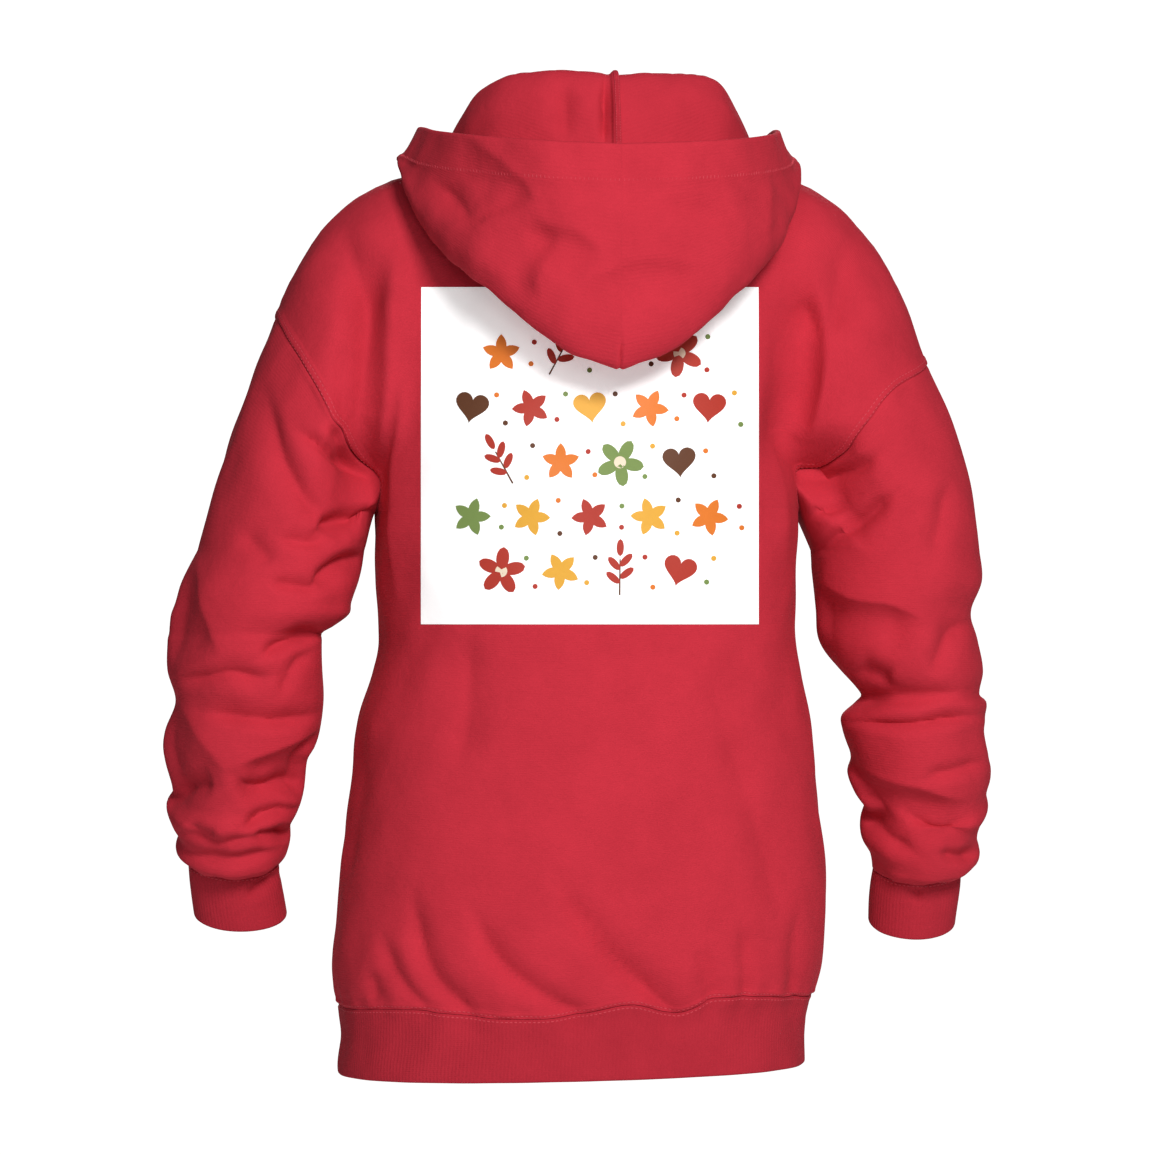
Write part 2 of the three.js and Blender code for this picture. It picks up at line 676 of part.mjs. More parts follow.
// A closed wall: the lattice, the same lattice moved in by the wall, and the strips between them.
function wall(name, cells, colour, thickness, closed) {
  const rows = cells.length;
  const columns = cells[0].length;
  const positions = [];
  for (const skin of [0, 1]) {
    for (const row of cells) {
      for (const cell of row) {
        const extra = cell.extra || 0;
        const shift = skin ? -thickness - extra : extra;
        positions.push(...cell.point.clone().addScaledVector(cell.normal, shift).toArray());
      }
    }
  }
  const at = (skin, r, c) => skin * rows * columns + r * columns + (c % columns);
  const faces = [];
  const quad = (a, b, c, d) => faces.push(a, b, c, a, c, d);
  const across = closed ? columns : columns - 1;
  for (let r = 0; r + 1 < rows; r += 1) {
    for (let c = 0; c < across; c += 1) {
      quad(at(0, r, c), at(0, r, c + 1), at(0, r + 1, c + 1), at(0, r + 1, c));
      const [a, b, d, e] = [at(1, r, c), at(1, r, c + 1), at(1, r + 1, c + 1), at(1, r + 1, c)];
      faces.push(a, d, b, a, e, d);
    }
  }
  for (let c = 0; c < across; c += 1) {
    quad(at(0, 0, c), at(1, 0, c), at(1, 0, c + 1), at(0, 0, c + 1));
    quad(at(0, rows - 1, c + 1), at(1, rows - 1, c + 1), at(1, rows - 1, c), at(0, rows - 1, c));
  }
  for (let r = 0; !closed && r + 1 < rows; r += 1) {
    const end = columns - 1;
    quad(at(0, r + 1, 0), at(1, r + 1, 0), at(1, r, 0), at(0, r, 0));
    quad(at(0, r, end), at(1, r, end), at(1, r + 1, end), at(0, r + 1, end));
  }
  const geometry = new THREE.BufferGeometry();
  geometry.setAttribute('position', new THREE.Float32BufferAttribute(positions, 3));
  geometry.setIndex(facingOut(positions, faces));
  const material = new THREE.MeshStandardMaterial({ color: colour, roughness: 0.9, metalness: 0 });
  const mesh = new THREE.Mesh(geometry, material);
  mesh.name = name;
  return mesh;
}

function facingOut(positions, faces) {
  const corner = (i) => new THREE.Vector3().fromArray(positions, 3 * i);
  let volume = 0;
  for (let i = 0; i < faces.length; i += 3) {
    volume += corner(faces[i]).dot(corner(faces[i + 1]).cross(corner(faces[i + 2])));
  }
  if (volume > 0) return faces;
  const turned = [];
  for (let i = 0; i < faces.length; i += 3) turned.push(faces[i], faces[i + 2], faces[i + 1]);
  return turned;
}

// Parts the two walls that meet at an armhole, which hang side by side near the underarm.
function partArmhole(side, sleeve) {
  const column = side === LEFT ? 0 : COLUMNS;
  sleeve[0].forEach((cell) => { cell.point.x += side * SEAM_GAP / 2; });
  for (const half of [BACK, FRONT]) {
    for (let row = LOW_ROWS; row <= LOW_ROWS + TOP_ROWS; row += 1) {
      bodyLattices[half][row][column].point.x -= side * SEAM_GAP / 2;
    }
  }
}

const group = new THREE.Group();
const everyEdge = { first: true, last: true, left: true, right: true };
const ends = { first: true, last: true };

const sleeves = { [LEFT]: sleeveLattice(LEFT), [RIGHT]: sleeveLattice(RIGHT) };
const band = bandLattice();
const hoods = { [LEFT]: hoodCells(LEFT), [RIGHT]: hoodCells(RIGHT) };

backOff(bodyLattices[BACK], everyEdge);
backOff(bodyLattices[FRONT], everyEdge);
for (const side of [LEFT, RIGHT]) partArmhole(side, backOff(sleeves[side], ends));

group.add(wall('back_panel', bodyLattices[BACK], FLEECE_RED, FLEECE_WALL));
group.add(wall('front_panel', bodyLattices[FRONT], FLEECE_RED, FLEECE_WALL));
group.add(wall('waistband', backOff(band, { first: true }), RIB_RED, RIB_WALL, true));
for (const [side, word] of [[LEFT, 'left'], [RIGHT, 'right']]) {
  const sleeve = sleeves[side];
  const cuff = cuffLattice(side, sleeve[0].length);
  sleeve[sleeve.length - 1].forEach((cell, i) => { cell.normal = cuff[0][i].normal.clone(); });
  group.add(wall(`sleeve_${word}`, sleeve, FLEECE_RED, FLEECE_WALL, true));
  group.add(wall(`cuff_${word}`, backOff(cuff, { first: true }), RIB_RED, RIB_WALL, true));
  const half = hoods[side];
  half.forEach((column) => column.slice(-HEM_ROWS).forEach((cell) => { cell.extra = HEM_EXTRA; }));
  group.add(wall(`hood_${word}`, backOff(half, { first: true, last: true, left: true }),
    FLEECE_RED, FLEECE_WALL));
}

export default group;
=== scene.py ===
import bpy
import numpy as np
from math import cos, pi, radians, sin
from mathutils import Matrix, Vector
from mathutils.bvhtree import BVHTree


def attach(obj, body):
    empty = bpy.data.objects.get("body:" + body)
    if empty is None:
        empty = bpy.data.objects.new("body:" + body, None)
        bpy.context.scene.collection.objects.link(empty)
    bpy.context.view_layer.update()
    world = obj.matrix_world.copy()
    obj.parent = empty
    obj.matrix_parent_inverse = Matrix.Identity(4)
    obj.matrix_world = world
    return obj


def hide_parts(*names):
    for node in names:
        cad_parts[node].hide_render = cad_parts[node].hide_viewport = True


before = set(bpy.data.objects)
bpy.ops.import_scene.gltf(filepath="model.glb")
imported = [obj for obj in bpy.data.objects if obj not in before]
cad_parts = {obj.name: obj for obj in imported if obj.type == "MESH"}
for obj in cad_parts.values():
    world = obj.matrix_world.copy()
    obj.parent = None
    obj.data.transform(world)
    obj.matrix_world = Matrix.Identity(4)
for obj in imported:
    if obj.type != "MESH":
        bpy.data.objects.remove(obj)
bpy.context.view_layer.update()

# The back panel. The real one is one piece of brushed sweatshirt fleece, cut with dropped
# shoulders. It is sewn at the sides, shoulders, armholes and neck, and onto the rib below.
# Lengths here are millimetres, until a mesh is made of them.
FLEECE_WALL = 2.0
UNDERARM_Z = -199
SECTION_POWER = 2.35
SHOULDER_BLEND = 26
SHOULDER_CENTRE = 2.5
SHOULDER_SHARE = 6 / 22
ARMHOLE_STEPS = 72
SEAM_GAP = 0.12
BACK, FRONT, LEFT, RIGHT = -1, 1, -1, 1


def table(columns, rows):
    """A smooth curve through the rows, looked up by the first column."""
    names = columns.split()
    rows = np.array(rows, float)
    keys = rows[:, 0]
    ahead = np.vstack([rows[1:], rows[-1:]])
    behind = np.vstack([rows[:1], rows[:-1]])
    slopes = (ahead - behind) / (ahead - behind)[:, :1]

    def look_up(wanted):
        key = np.clip(np.asarray(wanted, float), keys[0], keys[-1])
        row = np.clip(np.searchsorted(keys, key) - 1, 0, len(keys) - 2)
        span = (keys[row + 1] - keys[row])[..., None]
        t = (key - keys[row])[..., None] / span
        rise = (3 - 2 * t) * t * t
        found = rows[row] * (1 - rise) + rows[row + 1] * rise
        found = found + span * (slopes[row] * t * (1 - t) ** 2 - slopes[row + 1] * t * t * (1 - t))
        return {name: found[..., i] for i, name in enumerate(names)}

    return look_up


torso = table("z half back front centre", [
    (-560, 144, 90, 88, -12), (-546, 146, 92, 90, -12), (-525, 145, 94, 92, -11),
    (-508, 147, 97, 95, -10.5), (-497, 150.5, 101, 99, -9.5), (-480, 153, 104, 102, -8),
    (-450, 153, 106, 104, -5.5), (-422, 151, 107, 104, -5), (-366, 145, 107, 104, -4),
    (-337, 142, 107, 104, -4), (-300, 133.5, 107, 104, -2.5), (-281, 129.7, 108, 104, -2),
    (-244, 130.6, 109, 105, -3), (-199, 131.5, 109, 105, -2.5), (-150, 130, 107, 100, -1),
    (-100, 124, 101, 90, 0), (-60, 112, 92, 78, 0), (-30, 98, 82, 68, 0),
    (0, 84, 72, 62, 0), (20, 75, 65, 58, 0), (40, 68, 60, 54, 0),
])
shoulder = table("t x z radius depth", [
    (0, 52, -40, 48, 50), (1, 96, -50, 62, 59), (2, 118, -64, 64, 62), (3, 137, -88, 61, 64),
    (4, 151, -120, 58.5, 65), (5, 171, -162, 56.5, 64), (6, 189, -199, 55, 62),
    (7, 200, -240, 53, 60),
])
armhole = {
    LEFT: table("t x z", [(0, -134, -199), (0.1, -142, -181), (0.18, -145.6, -174.9),
                          (0.3, -151.5, -163.2), (0.45, -162.2, -147.5), (0.6, -170.5, -130.9),
                          (0.75, -177.6, -116.1), (0.88, -184, -100.5), (1, -196, -80)]),
    RIGHT: table("t x z", [(0, 130, -199), (0.1, 137, -186), (0.2, 141.5, -177.5),
                           (0.3, 147.2, -169), (0.45, 157.1, -157.2), (0.6, 167.7, -143.7),
                           (0.75, 175.6, -130.2), (0.88, 185, -119.5), (1, 208, -108)]),
}
neckline = table("t x y z", [
    (0, 0, -67, 20), (0.25, 37, -60, 20), (0.5, 78, -6, 17), (0.75, 55, 42, -6), (1, 0, 62, -26),
])
band_seam = table("x z", [
    (-157, -508), (-118, -505), (-68, -509), (-20, -508), (15, -501), (45, -507), (70, -498),
    (136, -502),
])


def ease(start, end, value):
    t = np.clip((value - start) / (end - start), 0, 1)
    return t * t * (3 - 2 * t)


def unit(vectors):
    return vectors / np.maximum(np.linalg.norm(vectors, axis=-1, keepdims=True), 1e-9)


def run_along(lines):
    """How far along its line each point is, for one line or for a stack of them."""
    steps = np.linalg.norm(np.diff(lines, axis=-2), axis=-1).cumsum(-1)
    return np.concatenate([np.zeros_like(steps[..., :1]), steps], -1)


def place_at(where, run, line):
    """The point, or the points, at a given run along a line."""
    return np.stack([np.interp(where, run, line[:, k]) for k in range(3)], -1)


def outside_oval(x, y, a, b, power):
    """About how far a place is outside an oval, or inside it where the answer is negative."""
    ax, ay = np.abs(x / a), np.abs(y / b)
    radius = np.maximum((ax ** power + ay ** power) ** (1 / power), 1e-6)
    steep = np.hypot(ax ** (power - 1) / a, ay ** (power - 1) / b) * radius ** (1 - power)
    return (radius - 1) / np.maximum(steep, 1e-6)


arm_line = shoulder(np.arange(36) / 5)
arm_dx, arm_dz = np.diff(arm_line["x"]), np.diff(arm_line["z"])


def outside_arm(p):
    px = np.abs(p[..., :1] - SHOULDER_CENTRE) - arm_line["x"][:-1]
    pz = p[..., 2:] - arm_line["z"][:-1]
    t = np.clip((px * arm_dx + pz * arm_dz) / (arm_dx ** 2 + arm_dz ** 2), 0, 1)
    away = np.hypot(px - arm_dx * t, pz - arm_dz * t)
    nearest = away.argmin(-1)
    t = np.take_along_axis(t, nearest[..., None], -1)[..., 0]
    radius, depth = (arm_line[k][nearest] * (1 - t) + arm_line[k][nearest + 1] * t
                     for k in ("radius", "depth"))
    return outside_oval(away.min(-1), p[..., 1], radius, depth, 2)


ARM_JOIN_HEIGHT, ARM_FADE = 55, 40


def outside_body(p):
    t = torso(p[..., 2])
    depth = np.where(p[..., 1] < 0, t["back"], t["front"])
    trunk = outside_oval(p[..., 0] - t["centre"], p[..., 1], t["half"], depth, SECTION_POWER)
    joined = ease(UNDERARM_Z - 2, UNDERARM_Z + ARM_JOIN_HEIGHT, p[..., 2])
    if not joined.any():
        return trunk
    arm = outside_arm(p) + (1 - joined) * ARM_FADE
    near = np.maximum(SHOULDER_BLEND - np.abs(trunk - arm), 0) / SHOULDER_BLEND
    both = np.minimum(trunk, arm) - near * near * SHOULDER_BLEND / 4
    return np.where(joined > 0, both, trunk)


SETTLE_ROUNDS = 7
half_steps = np.eye(3) * 0.5


def slope_of_body(p):
    return np.stack([outside_body(p + step) - outside_body(p - step) for step in half_steps], -1)


def settle(p, distance=0.0, level=False):
    """Moves points onto the body, or to a distance from it; level ones keep their height."""
    p = np.array(p, float)
    for _ in range(SETTLE_ROUNDS):
        here = outside_body(p)
        slope = np.stack([(outside_body(p + step) - here) * 2 for step in half_steps], -1)
        slope[..., 2] *= not level
        p -= slope * ((here - distance) / np.maximum((slope ** 2).sum(-1), 0.05))[..., None]
    return p


def side_form(half, u, z):
    """The body's oval section at a height, on one of its two halves."""
    t = torso(z)
    turn = pi * (1 - u)
    across = np.sign(np.cos(turn)) * np.abs(np.cos(turn)) ** (2 / SECTION_POWER)
    depth = t["back"] if half == BACK else t["front"]
    out = half * depth * np.maximum(np.sin(turn), 0) ** (2 / SECTION_POWER)
    return np.stack(np.broadcast_arrays(t["centre"] + t["half"] * across, out, z), -1)


ARMHOLE_DEPTH, SHOULDER_RISE, UPPER_SWELL = 62, 26, 26


def armhole_points(side, half, t):
    spot = armhole[side](t)
    out = half * ARMHOLE_DEPTH * np.sqrt(np.maximum(4 * t * (1 - t), 0))
    points = settle(np.stack([spot["x"], out, spot["z"]], -1), level=True)
    points[t <= 0] = side_form(half, 0.0 if side == LEFT else 1.0, UNDERARM_Z)
    return points


def neck_points(t, side):
    spot = neckline(t)
    return settle(np.stack([side * spot["x"], spot["y"], spot["z"]], -1))


def top_edge(half, u):
    """A panel's upper edge: the neck, and a shoulder seam out to each armhole."""
    top = np.zeros(u.shape + (3,))
    edge = np.minimum(u, 1 - u)
    for side in (LEFT, RIGHT):
        mine = (u < 0.5) if side == LEFT else (u >= 0.5)
        seam = mine & (edge < SHOULDER_SHARE)
        t = (edge[seam] / SHOULDER_SHARE)[:, None]
        outer = armhole_points(side, half, np.ones(1))
        between = outer * (1 - t) + neck_points(np.full(1, 0.5), side) * t
        between[:, 2:] += SHOULDER_RISE * np.sin(pi * t ** 0.8)
        top[seam] = np.where(t > 0, settle(between), outer)
        neck = mine & (edge >= SHOULDER_SHARE)
        turn = (edge[neck] - SHOULDER_SHARE) / (0.5 - SHOULDER_SHARE)
        top[neck] = neck_points(0.5 + half * 0.5 * turn, side)
    return top


def upper_form(half, u, v):
    """A panel's form from the underarm up to its neck and shoulder edge."""
    low, high = side_form(half, u, UNDERARM_Z), top_edge(half, u)
    v = v[:, None, None]
    points = low * (1 - v) + high * v
    edges = {}
    for side, column, weight in ((LEFT, 0, (1 - u) ** 5), (RIGHT, -1, u ** 5)):
        edges[side] = armhole_points(side, half, v[:, 0, 0])[:, None]
        corner = low[column] * (1 - v) + high[column] * v
        points = points + (edges[side] - corner) * weight[:, None]
    points[..., 1] += half * UPPER_SWELL * np.sin(pi * v[..., 0]) * np.sin(pi * u)
    points = settle(points)
    points[:, :1], points[:, -1:] = edges[LEFT], edges[RIGHT]
    points[-1] = high
    return points


# A panel's lattice: its lines are close together beside a seam, and wider further in.
SIDE_DEPTH, LOW_HEIGHT, BAND_SEAM_Z = 107, 306, -505.0
beside_seam = np.array([0, 0.5, 1, 1.5, 2, 2.6, 3.3, 4.1, 4.9, 5.5, 6.1, 6.7, 7.4, 8.3, 9.8, 12.0])
edge_u = (beside_seam / SIDE_DEPTH) ** (SECTION_POWER / 2) / pi
shoulder_u = np.linspace(edge_u[-1], SHOULDER_SHARE, 35)[1:]
neck_u = np.linspace(SHOULDER_SHARE, 0.5, 31)[1:]
half_u = np.concatenate([edge_u, shoulder_u, neck_u])
panel_u = np.concatenate([half_u, 1 - half_u[-2::-1]])
low_steps = np.concatenate([beside_seam, np.linspace(beside_seam[-1], LOW_HEIGHT, 106)[1:]])
low_steps /= LOW_HEIGHT


def panel_form(half):
    bottom = band_seam(side_form(half, panel_u, BAND_SEAM_Z)[:, 0])["z"]
    low = side_form(half, panel_u, bottom + (UNDERARM_Z - bottom) * low_steps[:, None])
    turn = pi * np.arange(1, ARMHOLE_STEPS + 1) / ARMHOLE_STEPS
    points = np.concatenate([low, upper_form(half, panel_u, (1 - np.cos(turn)) / 2)])
    return points, unit(slope_of_body(points))


# Folds, in the plane that the photographer saw: how far each reaches to the left and to the
# right of its line, its depth and the line itself.
VIEW_DISTANCE, VIEW_TURN, VIEW_X, VIEW_Z = 3000, radians(-5), -8, -242
CREASE_ROUNDING, FOLD_GAIN = 1.0, 1.6
back_folds = [
    (0, 12, 9, [(-122, -34), (-126, -66), (-127, -90), (-128, -121), (-131, -156), (-134, -192)]),
    (16, 9, -3.4, [(-117, -120), (-120, -165), (-122, -205), (-122, -250)]),
    (14, 14, 2.5, [(-157, -90), (-158, -119), (-153, -152)]),
    (12, 18, 4, [(-203, -125), (-198, -155), (-188, -178), (-172, -198), (-156, -210)]),
    (9, 8, 3.6, [(-186, -148), (-163, -164), (-140, -180)]),
    (13, 14, 2.2, [(-219, -212), (-209, -223), (-197, -234)]),
    (12, 8, 3, [(-197, -216), (-185, -219), (-170, -220), (-160, -213)]),
    (9, 14, 6.5, [(-172, -215), (-158, -207), (-147, -204), (-130, -200)]),
    (10, 14, 6.5, [(-174, -250), (-166, -242), (-155, -234), (-140, -228)]),
    (10, 7, 2.8, [(-201, -243), (-193, -246), (-181, -248), (-168, -250)]),
    (0, 17, 4.6, [(-246, -224), (-245, -254), (-239, -274), (-229, -294)]),
    (10, 8, 4.5, [(-206, -293), (-200, -288), (-188, -282), (-167, -274)]),
    (9, 9, 2.2, [(-173, -288), (-183, -296), (-189, -306), (-194, -317)]),
    (17, 10, 4, [(-263, -305), (-245, -306), (-225, -303), (-209, -306), (-195, -303)]),
    (0, 20, 4.2, [(-260, -313), (-248, -338), (-235, -355), (-222, -370)]),
    (14, 9, 4, [(-245, -326), (-225, -329), (-209, -331), (-194, -332), (-179, -330), (-167, -325)]),
    (0, 13, 5.6, [(-226, -362), (-209, -355), (-194, -350), (-179, -343), (-162, -332)]),
    (16, 8, 3.8, [(-264, -378), (-250, -376), (-235, -374)]),
    (10, 12, 6, [(-223, -366), (-215, -375), (-206, -378), (-194, -376), (-172, -365)]),
    (8, 10, 4.8, [(-218, -399), (-209, -394), (-194, -389), (-179, -387)]),
    (9, 7, 3.6, [(-259, -401), (-247, -406), (-233, -411), (-225, -409), (-209, -405)]),
    (9, 7, 2.6, [(-254, -394), (-245, -401), (-233, -405)]),
    (9, 6, 4.4, [(-211, -407), (-197, -404), (-184, -400)]),
    (7, 6, 3, [(-252, -414), (-235, -418), (-217, -418), (-194, -412)]),
    (0, 13, 7.5, [(136, -40), (146, -78), (147, -108), (144, -131), (137, -156), (131, -194)]),
    (9, 14, -1.6, [(120, -150), (121, -185), (121, -240)]),
    (30, 30, 4, [(-154, -22), (-148, -52), (-138, -84)]),
    (30, 30, 5, [(164, -26), (158, -60), (150, -96)]),
    (16, 16, 2.5, [(131, -66), (146, -93)]),
    (8, 10, 3, [(136, -181), (165, -175), (182, -163)]),
    (12, 14, 2.4, [(225, -180), (220, -205), (214, -232)]),
    (7, 7, 3, [(136, -204), (146, -199), (158, -197)]),
    (8, 12, 4.2, [(141, -228), (156, -214), (172, -203), (192, -188)]),
    (0, 14, 4.6, [(134, -238), (157, -253), (171, -257), (188, -259), (206, -267), (216, -275)]),
    (12, 12, 3, [(239, -268), (227, -276), (220, -290), (211, -305)]),
    (16, 8, 4.2, [(165, -302), (175, -303), (188, -311)]),
    (12, 9, 3, [(160, -320), (184, -317), (207, -317), (236, -313)]),
    (12, 8, 4.6, [(155, -333), (171, -332), (188, -334), (206, -334), (225, -331), (247, -328)]),
    (0, 13, 5, [(160, -346), (172, -363), (188, -370), (206, -374), (225, -380), (244, -381)]),
    (9, 9, 2.8, [(207, -370), (216, -366), (225, -364), (249, -356)]),
    (12, 10, 3.2, [(167, -379), (174, -394), (186, -406), (205, -416)]),
    (10, 9, 3.8, [(194, -391), (206, -397), (225, -398), (243, -390)]),
    (9, 7, 3, [(203, -405), (219, -406), (240, -401)]),
    (8, 7, 3.2, [(217, -415), (234, -417), (244, -411)]),
    (28, 28, 2.6, [(-76, -274), (-78, -328), (-84, -364)]),
    (20, 20, 1.2, [(12, -278), (19, -331)]),
    (30, 30, 2.6, [(77, -310), (105, -396), (118, -450), (117, -469)]),
    (20, 13, 5, [(-21, -428), (-4, -461), (14, -482), (44, -508), (58, -524)]),
    (16, 12, 4.2, [(-76, -448), (-60, -480), (-38, -499), (-10, -516), (6, -528)]),
    (16, 12, 3.6, [(-112, -440), (-104, -482), (-90, -502), (-66, -522)]),
    (11, 11, 2.6, [(-132, -462), (-122, -490), (-98, -518)]),
    (9, 9, 1.8, [(-138, -488), (-136, -509)]),
    (10, 10, 2.4, [(66, -470), (74, -492), (76, -516)]),
    (10, 10, 2.2, [(96, -456), (98, -490), (96, -514)]),
    (12, 12, 2.4, [(131, -448), (128, -480), (130, -512)]),
    (26, 34, 4, [(-149, -319), (-153, -381), (-158, -444)]),
]


def seen(p):
    """Where a place shows to the photographer, as x and z in the plane through the garment."""
    across = p[..., 0] * cos(VIEW_TURN) + p[..., 1] * sin(VIEW_TURN) - VIEW_X
    away = VIEW_DISTANCE - p[..., 0] * sin(VIEW_TURN) + p[..., 1] * cos(VIEW_TURN)
    grow = VIEW_DISTANCE / away
    return VIEW_X + across * grow, VIEW_Z + (p[..., 2] - VIEW_Z) * grow


def smooth_line(line, count=12):
    line = np.array(line, float)
    run = run_along(line)
    spot = table("s x z", np.column_stack([run, line]))(np.linspace(0, run[-1], count + 1))
    return np.column_stack([spot["x"], spot["z"]])


def beside_line(x, z, line):
    """How far each place is from a line, how far along it, and how far to the line's left."""
    best, along, left = (np.full(x.shape, v) for v in (1e9, 0.0, 0.0))
    for i, (a, b) in enumerate(zip(line[:-1], line[1:])):
        d = b - a
        t = np.clip(((x - a[0]) * d[0] + (z - a[1]) * d[1]) / (d @ d), 0, 1)
        ox, oz = x - a[0] - d[0] * t, z - a[1] - d[1] * t
        away = np.hypot(ox, oz)
        closer = away < best
        best = np.where(closer, away, best)
        along = np.where(closer, (i + t) / (len(line) - 1), along)
        left = np.where(closer, (d[0] * oz - d[1] * ox) / np.hypot(*d), left)
    return best, along, left


def fold_depth(x, z, folds):
    """Each fold is a crease, with a long or a short slope to each side. Where the left reach is
    0 the line is a crest instead, and the cloth is lower only on its right."""
    depth = np.zeros(x.shape)
    for left_reach, right_reach, deep, line in folds:
        away, along, left = beside_line(x, z, smooth_line(line))
        fade = ease(0, 0.3, along) * ease(0, 0.3, 1 - along)
        on_left = ease(-1, 1, left)
        if left_reach == 0:
            a = away / right_reach
            form = np.where(a < 1, a * (2 - a), 1 - ease(1, 3, a)) * (1 - on_left)
        else:
            fade = 0.15 + 0.85 * fade
            away = np.sqrt(away ** 2 + CREASE_ROUNDING ** 2) - CREASE_ROUNDING
            reach = (right_reach + (left_reach - right_reach) * on_left) * (0.5 + 0.5 * fade)
            form = np.maximum(1 - away / reach, 0) ** 2
        depth += deep * fade * form
    return depth * FOLD_GAIN


# Cloth is never quite even: a few soft waves of 25 to 70 mm, the same at each run.
chance = np.random.default_rng(11)
waves = [(unit(chance.normal(size=3)) * 2 * pi / chance.uniform(25, 70), chance.uniform(0, 2 * pi))
         for _ in range(16)]


def unevenness(p):
    return sum(np.sin(p @ wave + phase) for wave, phase in waves) / 4


def folded(points, normals, hidden_folds):
    """The cloth with its folds: those of the photograph behind, and the hidden ones in front."""
    behind = normals[..., 1] < 0
    x, z = seen(points)
    depth = np.where(behind, fold_depth(x, z, back_folds),
                     fold_depth(points[..., 0], points[..., 2], hidden_folds))
    depth = depth * ease(0, 0.3, np.abs(normals[..., 1]))
    return points - normals * (depth - 0.55 * unevenness(points))[..., None]


def distance_from(points, line):
    """How far each point is from a line, measured to six places on each of its steps."""
    fine = np.concatenate([a + (b - a) * np.arange(6)[:, None] / 6
                           for a, b in zip(line[:-1], line[1:])] + [line[-1:]])
    flat = points.reshape(-1, 3)
    found = np.concatenate([np.linalg.norm(block[:, None] - fine, axis=-1).min(1)
                            for block in np.array_split(flat, max(len(flat) // 400, 1))])
    return found.reshape(points.shape[:-1])


def armhole_relief(d):
    """The turnings pressed flat beside an armhole seam, with a groove for the stitches."""
    raised = 0.8 * (ease(0.3, 1.3, d) - ease(4.6, 6.8, d))
    return raised - 0.35 * np.exp(-((d - 4.1) / 0.6) ** 2) - 0.5 * np.exp(-(d / 1.0) ** 2)


def plain_seam(d, deep=0.8):
    return -deep * np.exp(-(d / 1.3) ** 2)


def gathered(d, along):
    """The small gathers of cloth that a seam draws in."""
    pull = np.exp(-(d / 14) ** 2) * ease(0, 2, d)
    return pull * (0.5 * np.sin(along / 2.9) + 0.45 * np.sin(along / 4.7 + 1) - 0.5)


first_top_row = len(low_steps) - 1
SEAM_ROWS, SEAM_COLUMNS, TOP_ROWS, SHARED_COLUMNS = 30, 32, 24, 22
EDGE_COLUMN = {LEFT: 0, RIGHT: -1}


def panel_seams(points, normals):
    """Presses the seams into a panel."""
    raise_by = np.zeros(points.shape[:2])
    low = distance_from(points[:SEAM_ROWS], points[0])
    bead = 0.5 * np.exp(-((low - 2.6) / 1.2) ** 2)
    raise_by[:SEAM_ROWS] += plain_seam(low) + gathered(low, run_along(points[0])) + bead
    for column, near in ((0, slice(0, SEAM_COLUMNS)), (-1, slice(-SEAM_COLUMNS, None))):
        d = distance_from(points[:, near], points[first_top_row:, column])
        raise_by[first_top_row:, near] += armhole_relief(d)[first_top_row:]
        below = distance_from(points[:first_top_row, near], points[:first_top_row + 1, column])
        raise_by[:first_top_row, near] += plain_seam(below)
    raise_by[-TOP_ROWS:] += plain_seam(distance_from(points[-TOP_ROWS:], points[-1]))
    return points + normals * raise_by[..., None]


def armhole_direction(normals, half, side):
    """The wall's direction along an armhole seam, the same for the panel and for the sleeve."""
    turn = pi * np.arange(ARMHOLE_STEPS + 1) / ARMHOLE_STEPS
    shared = normals[first_top_row:, EDGE_COLUMN[side]] + np.column_stack([
        -side * np.cos(turn), half * np.sin(turn), -0.25 * (1 + np.cos(turn))])
    return unit(shared)


def share_direction(points, normals, half):
    """Gives a panel's wall the directions that it shares with the sleeves' walls."""
    normals = normals.copy()
    for side, column in EDGE_COLUMN.items():
        shared = armhole_direction(normals, half, side)
        near = slice(0, SHARED_COLUMNS) if side == LEFT else slice(-SHARED_COLUMNS, None)
        d = distance_from(points[first_top_row:, near], points[first_top_row:, column])
        share = (1 - ease(0, 10, d))[..., None]
        normals[first_top_row:, near] = unit(
            normals[first_top_row:, near] * (1 - share) + shared[:, None] * share)
    return normals


def grid_faces(rows, columns, wrap_rows, wrap_columns):
    """The quads of a lattice, which may close on itself either way."""
    r = np.arange(rows if wrap_rows else rows - 1)[:, None]
    c = np.arange(columns if wrap_columns else columns - 1)[None]
    r1, c1 = (r + 1) % rows, (c + 1) % columns
    corners = [i * columns + j for i, j in ((r, c), (r, c1), (r1, c1), (r1, c))]
    return np.stack(corners, -1).reshape(-1, 4)


RIM_ROWS, SHARP = 5, 62


def rounded_rim(outer, inner, edge, inwards):
    """The turned edge between a wall's two faces, as rows of points."""
    middle, reach = (outer[edge] + inner[edge]) / 2, (outer[edge] - inner[edge]) / 2
    away = unit(outer[edge] - outer[inwards])
    size = np.linalg.norm(reach, axis=-1, keepdims=True)
    return [middle + reach * cos(a) + away * size * sin(a)
            for a in pi * np.arange(1, RIM_ROWS + 1) / (RIM_ROWS + 1)]


def new_piece(name, spots, faces, materials, sharp=None):
    """A smooth-shaded piece, made of spots in millimetres. Its edges over an angle stay sharp."""
    mesh = bpy.data.meshes.new(name)
    mesh.from_pydata((np.array(spots) * 0.001).tolist(), [], faces)
    mesh.shade_smooth()
    if sharp:
        mesh.set_sharp_from_angle(angle=radians(sharp))
    for material in materials:
        mesh.materials.append(material)
    piece = bpy.data.objects.new(name, mesh)
    bpy.context.scene.collection.objects.link(piece)
    return piece


def sewn(piece, node=None):
    """Fixes a piece to the hoodie, in place of a solid of the CAD part where it has one."""
    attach(piece, "root")
    if node:
        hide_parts(node)
    return piece


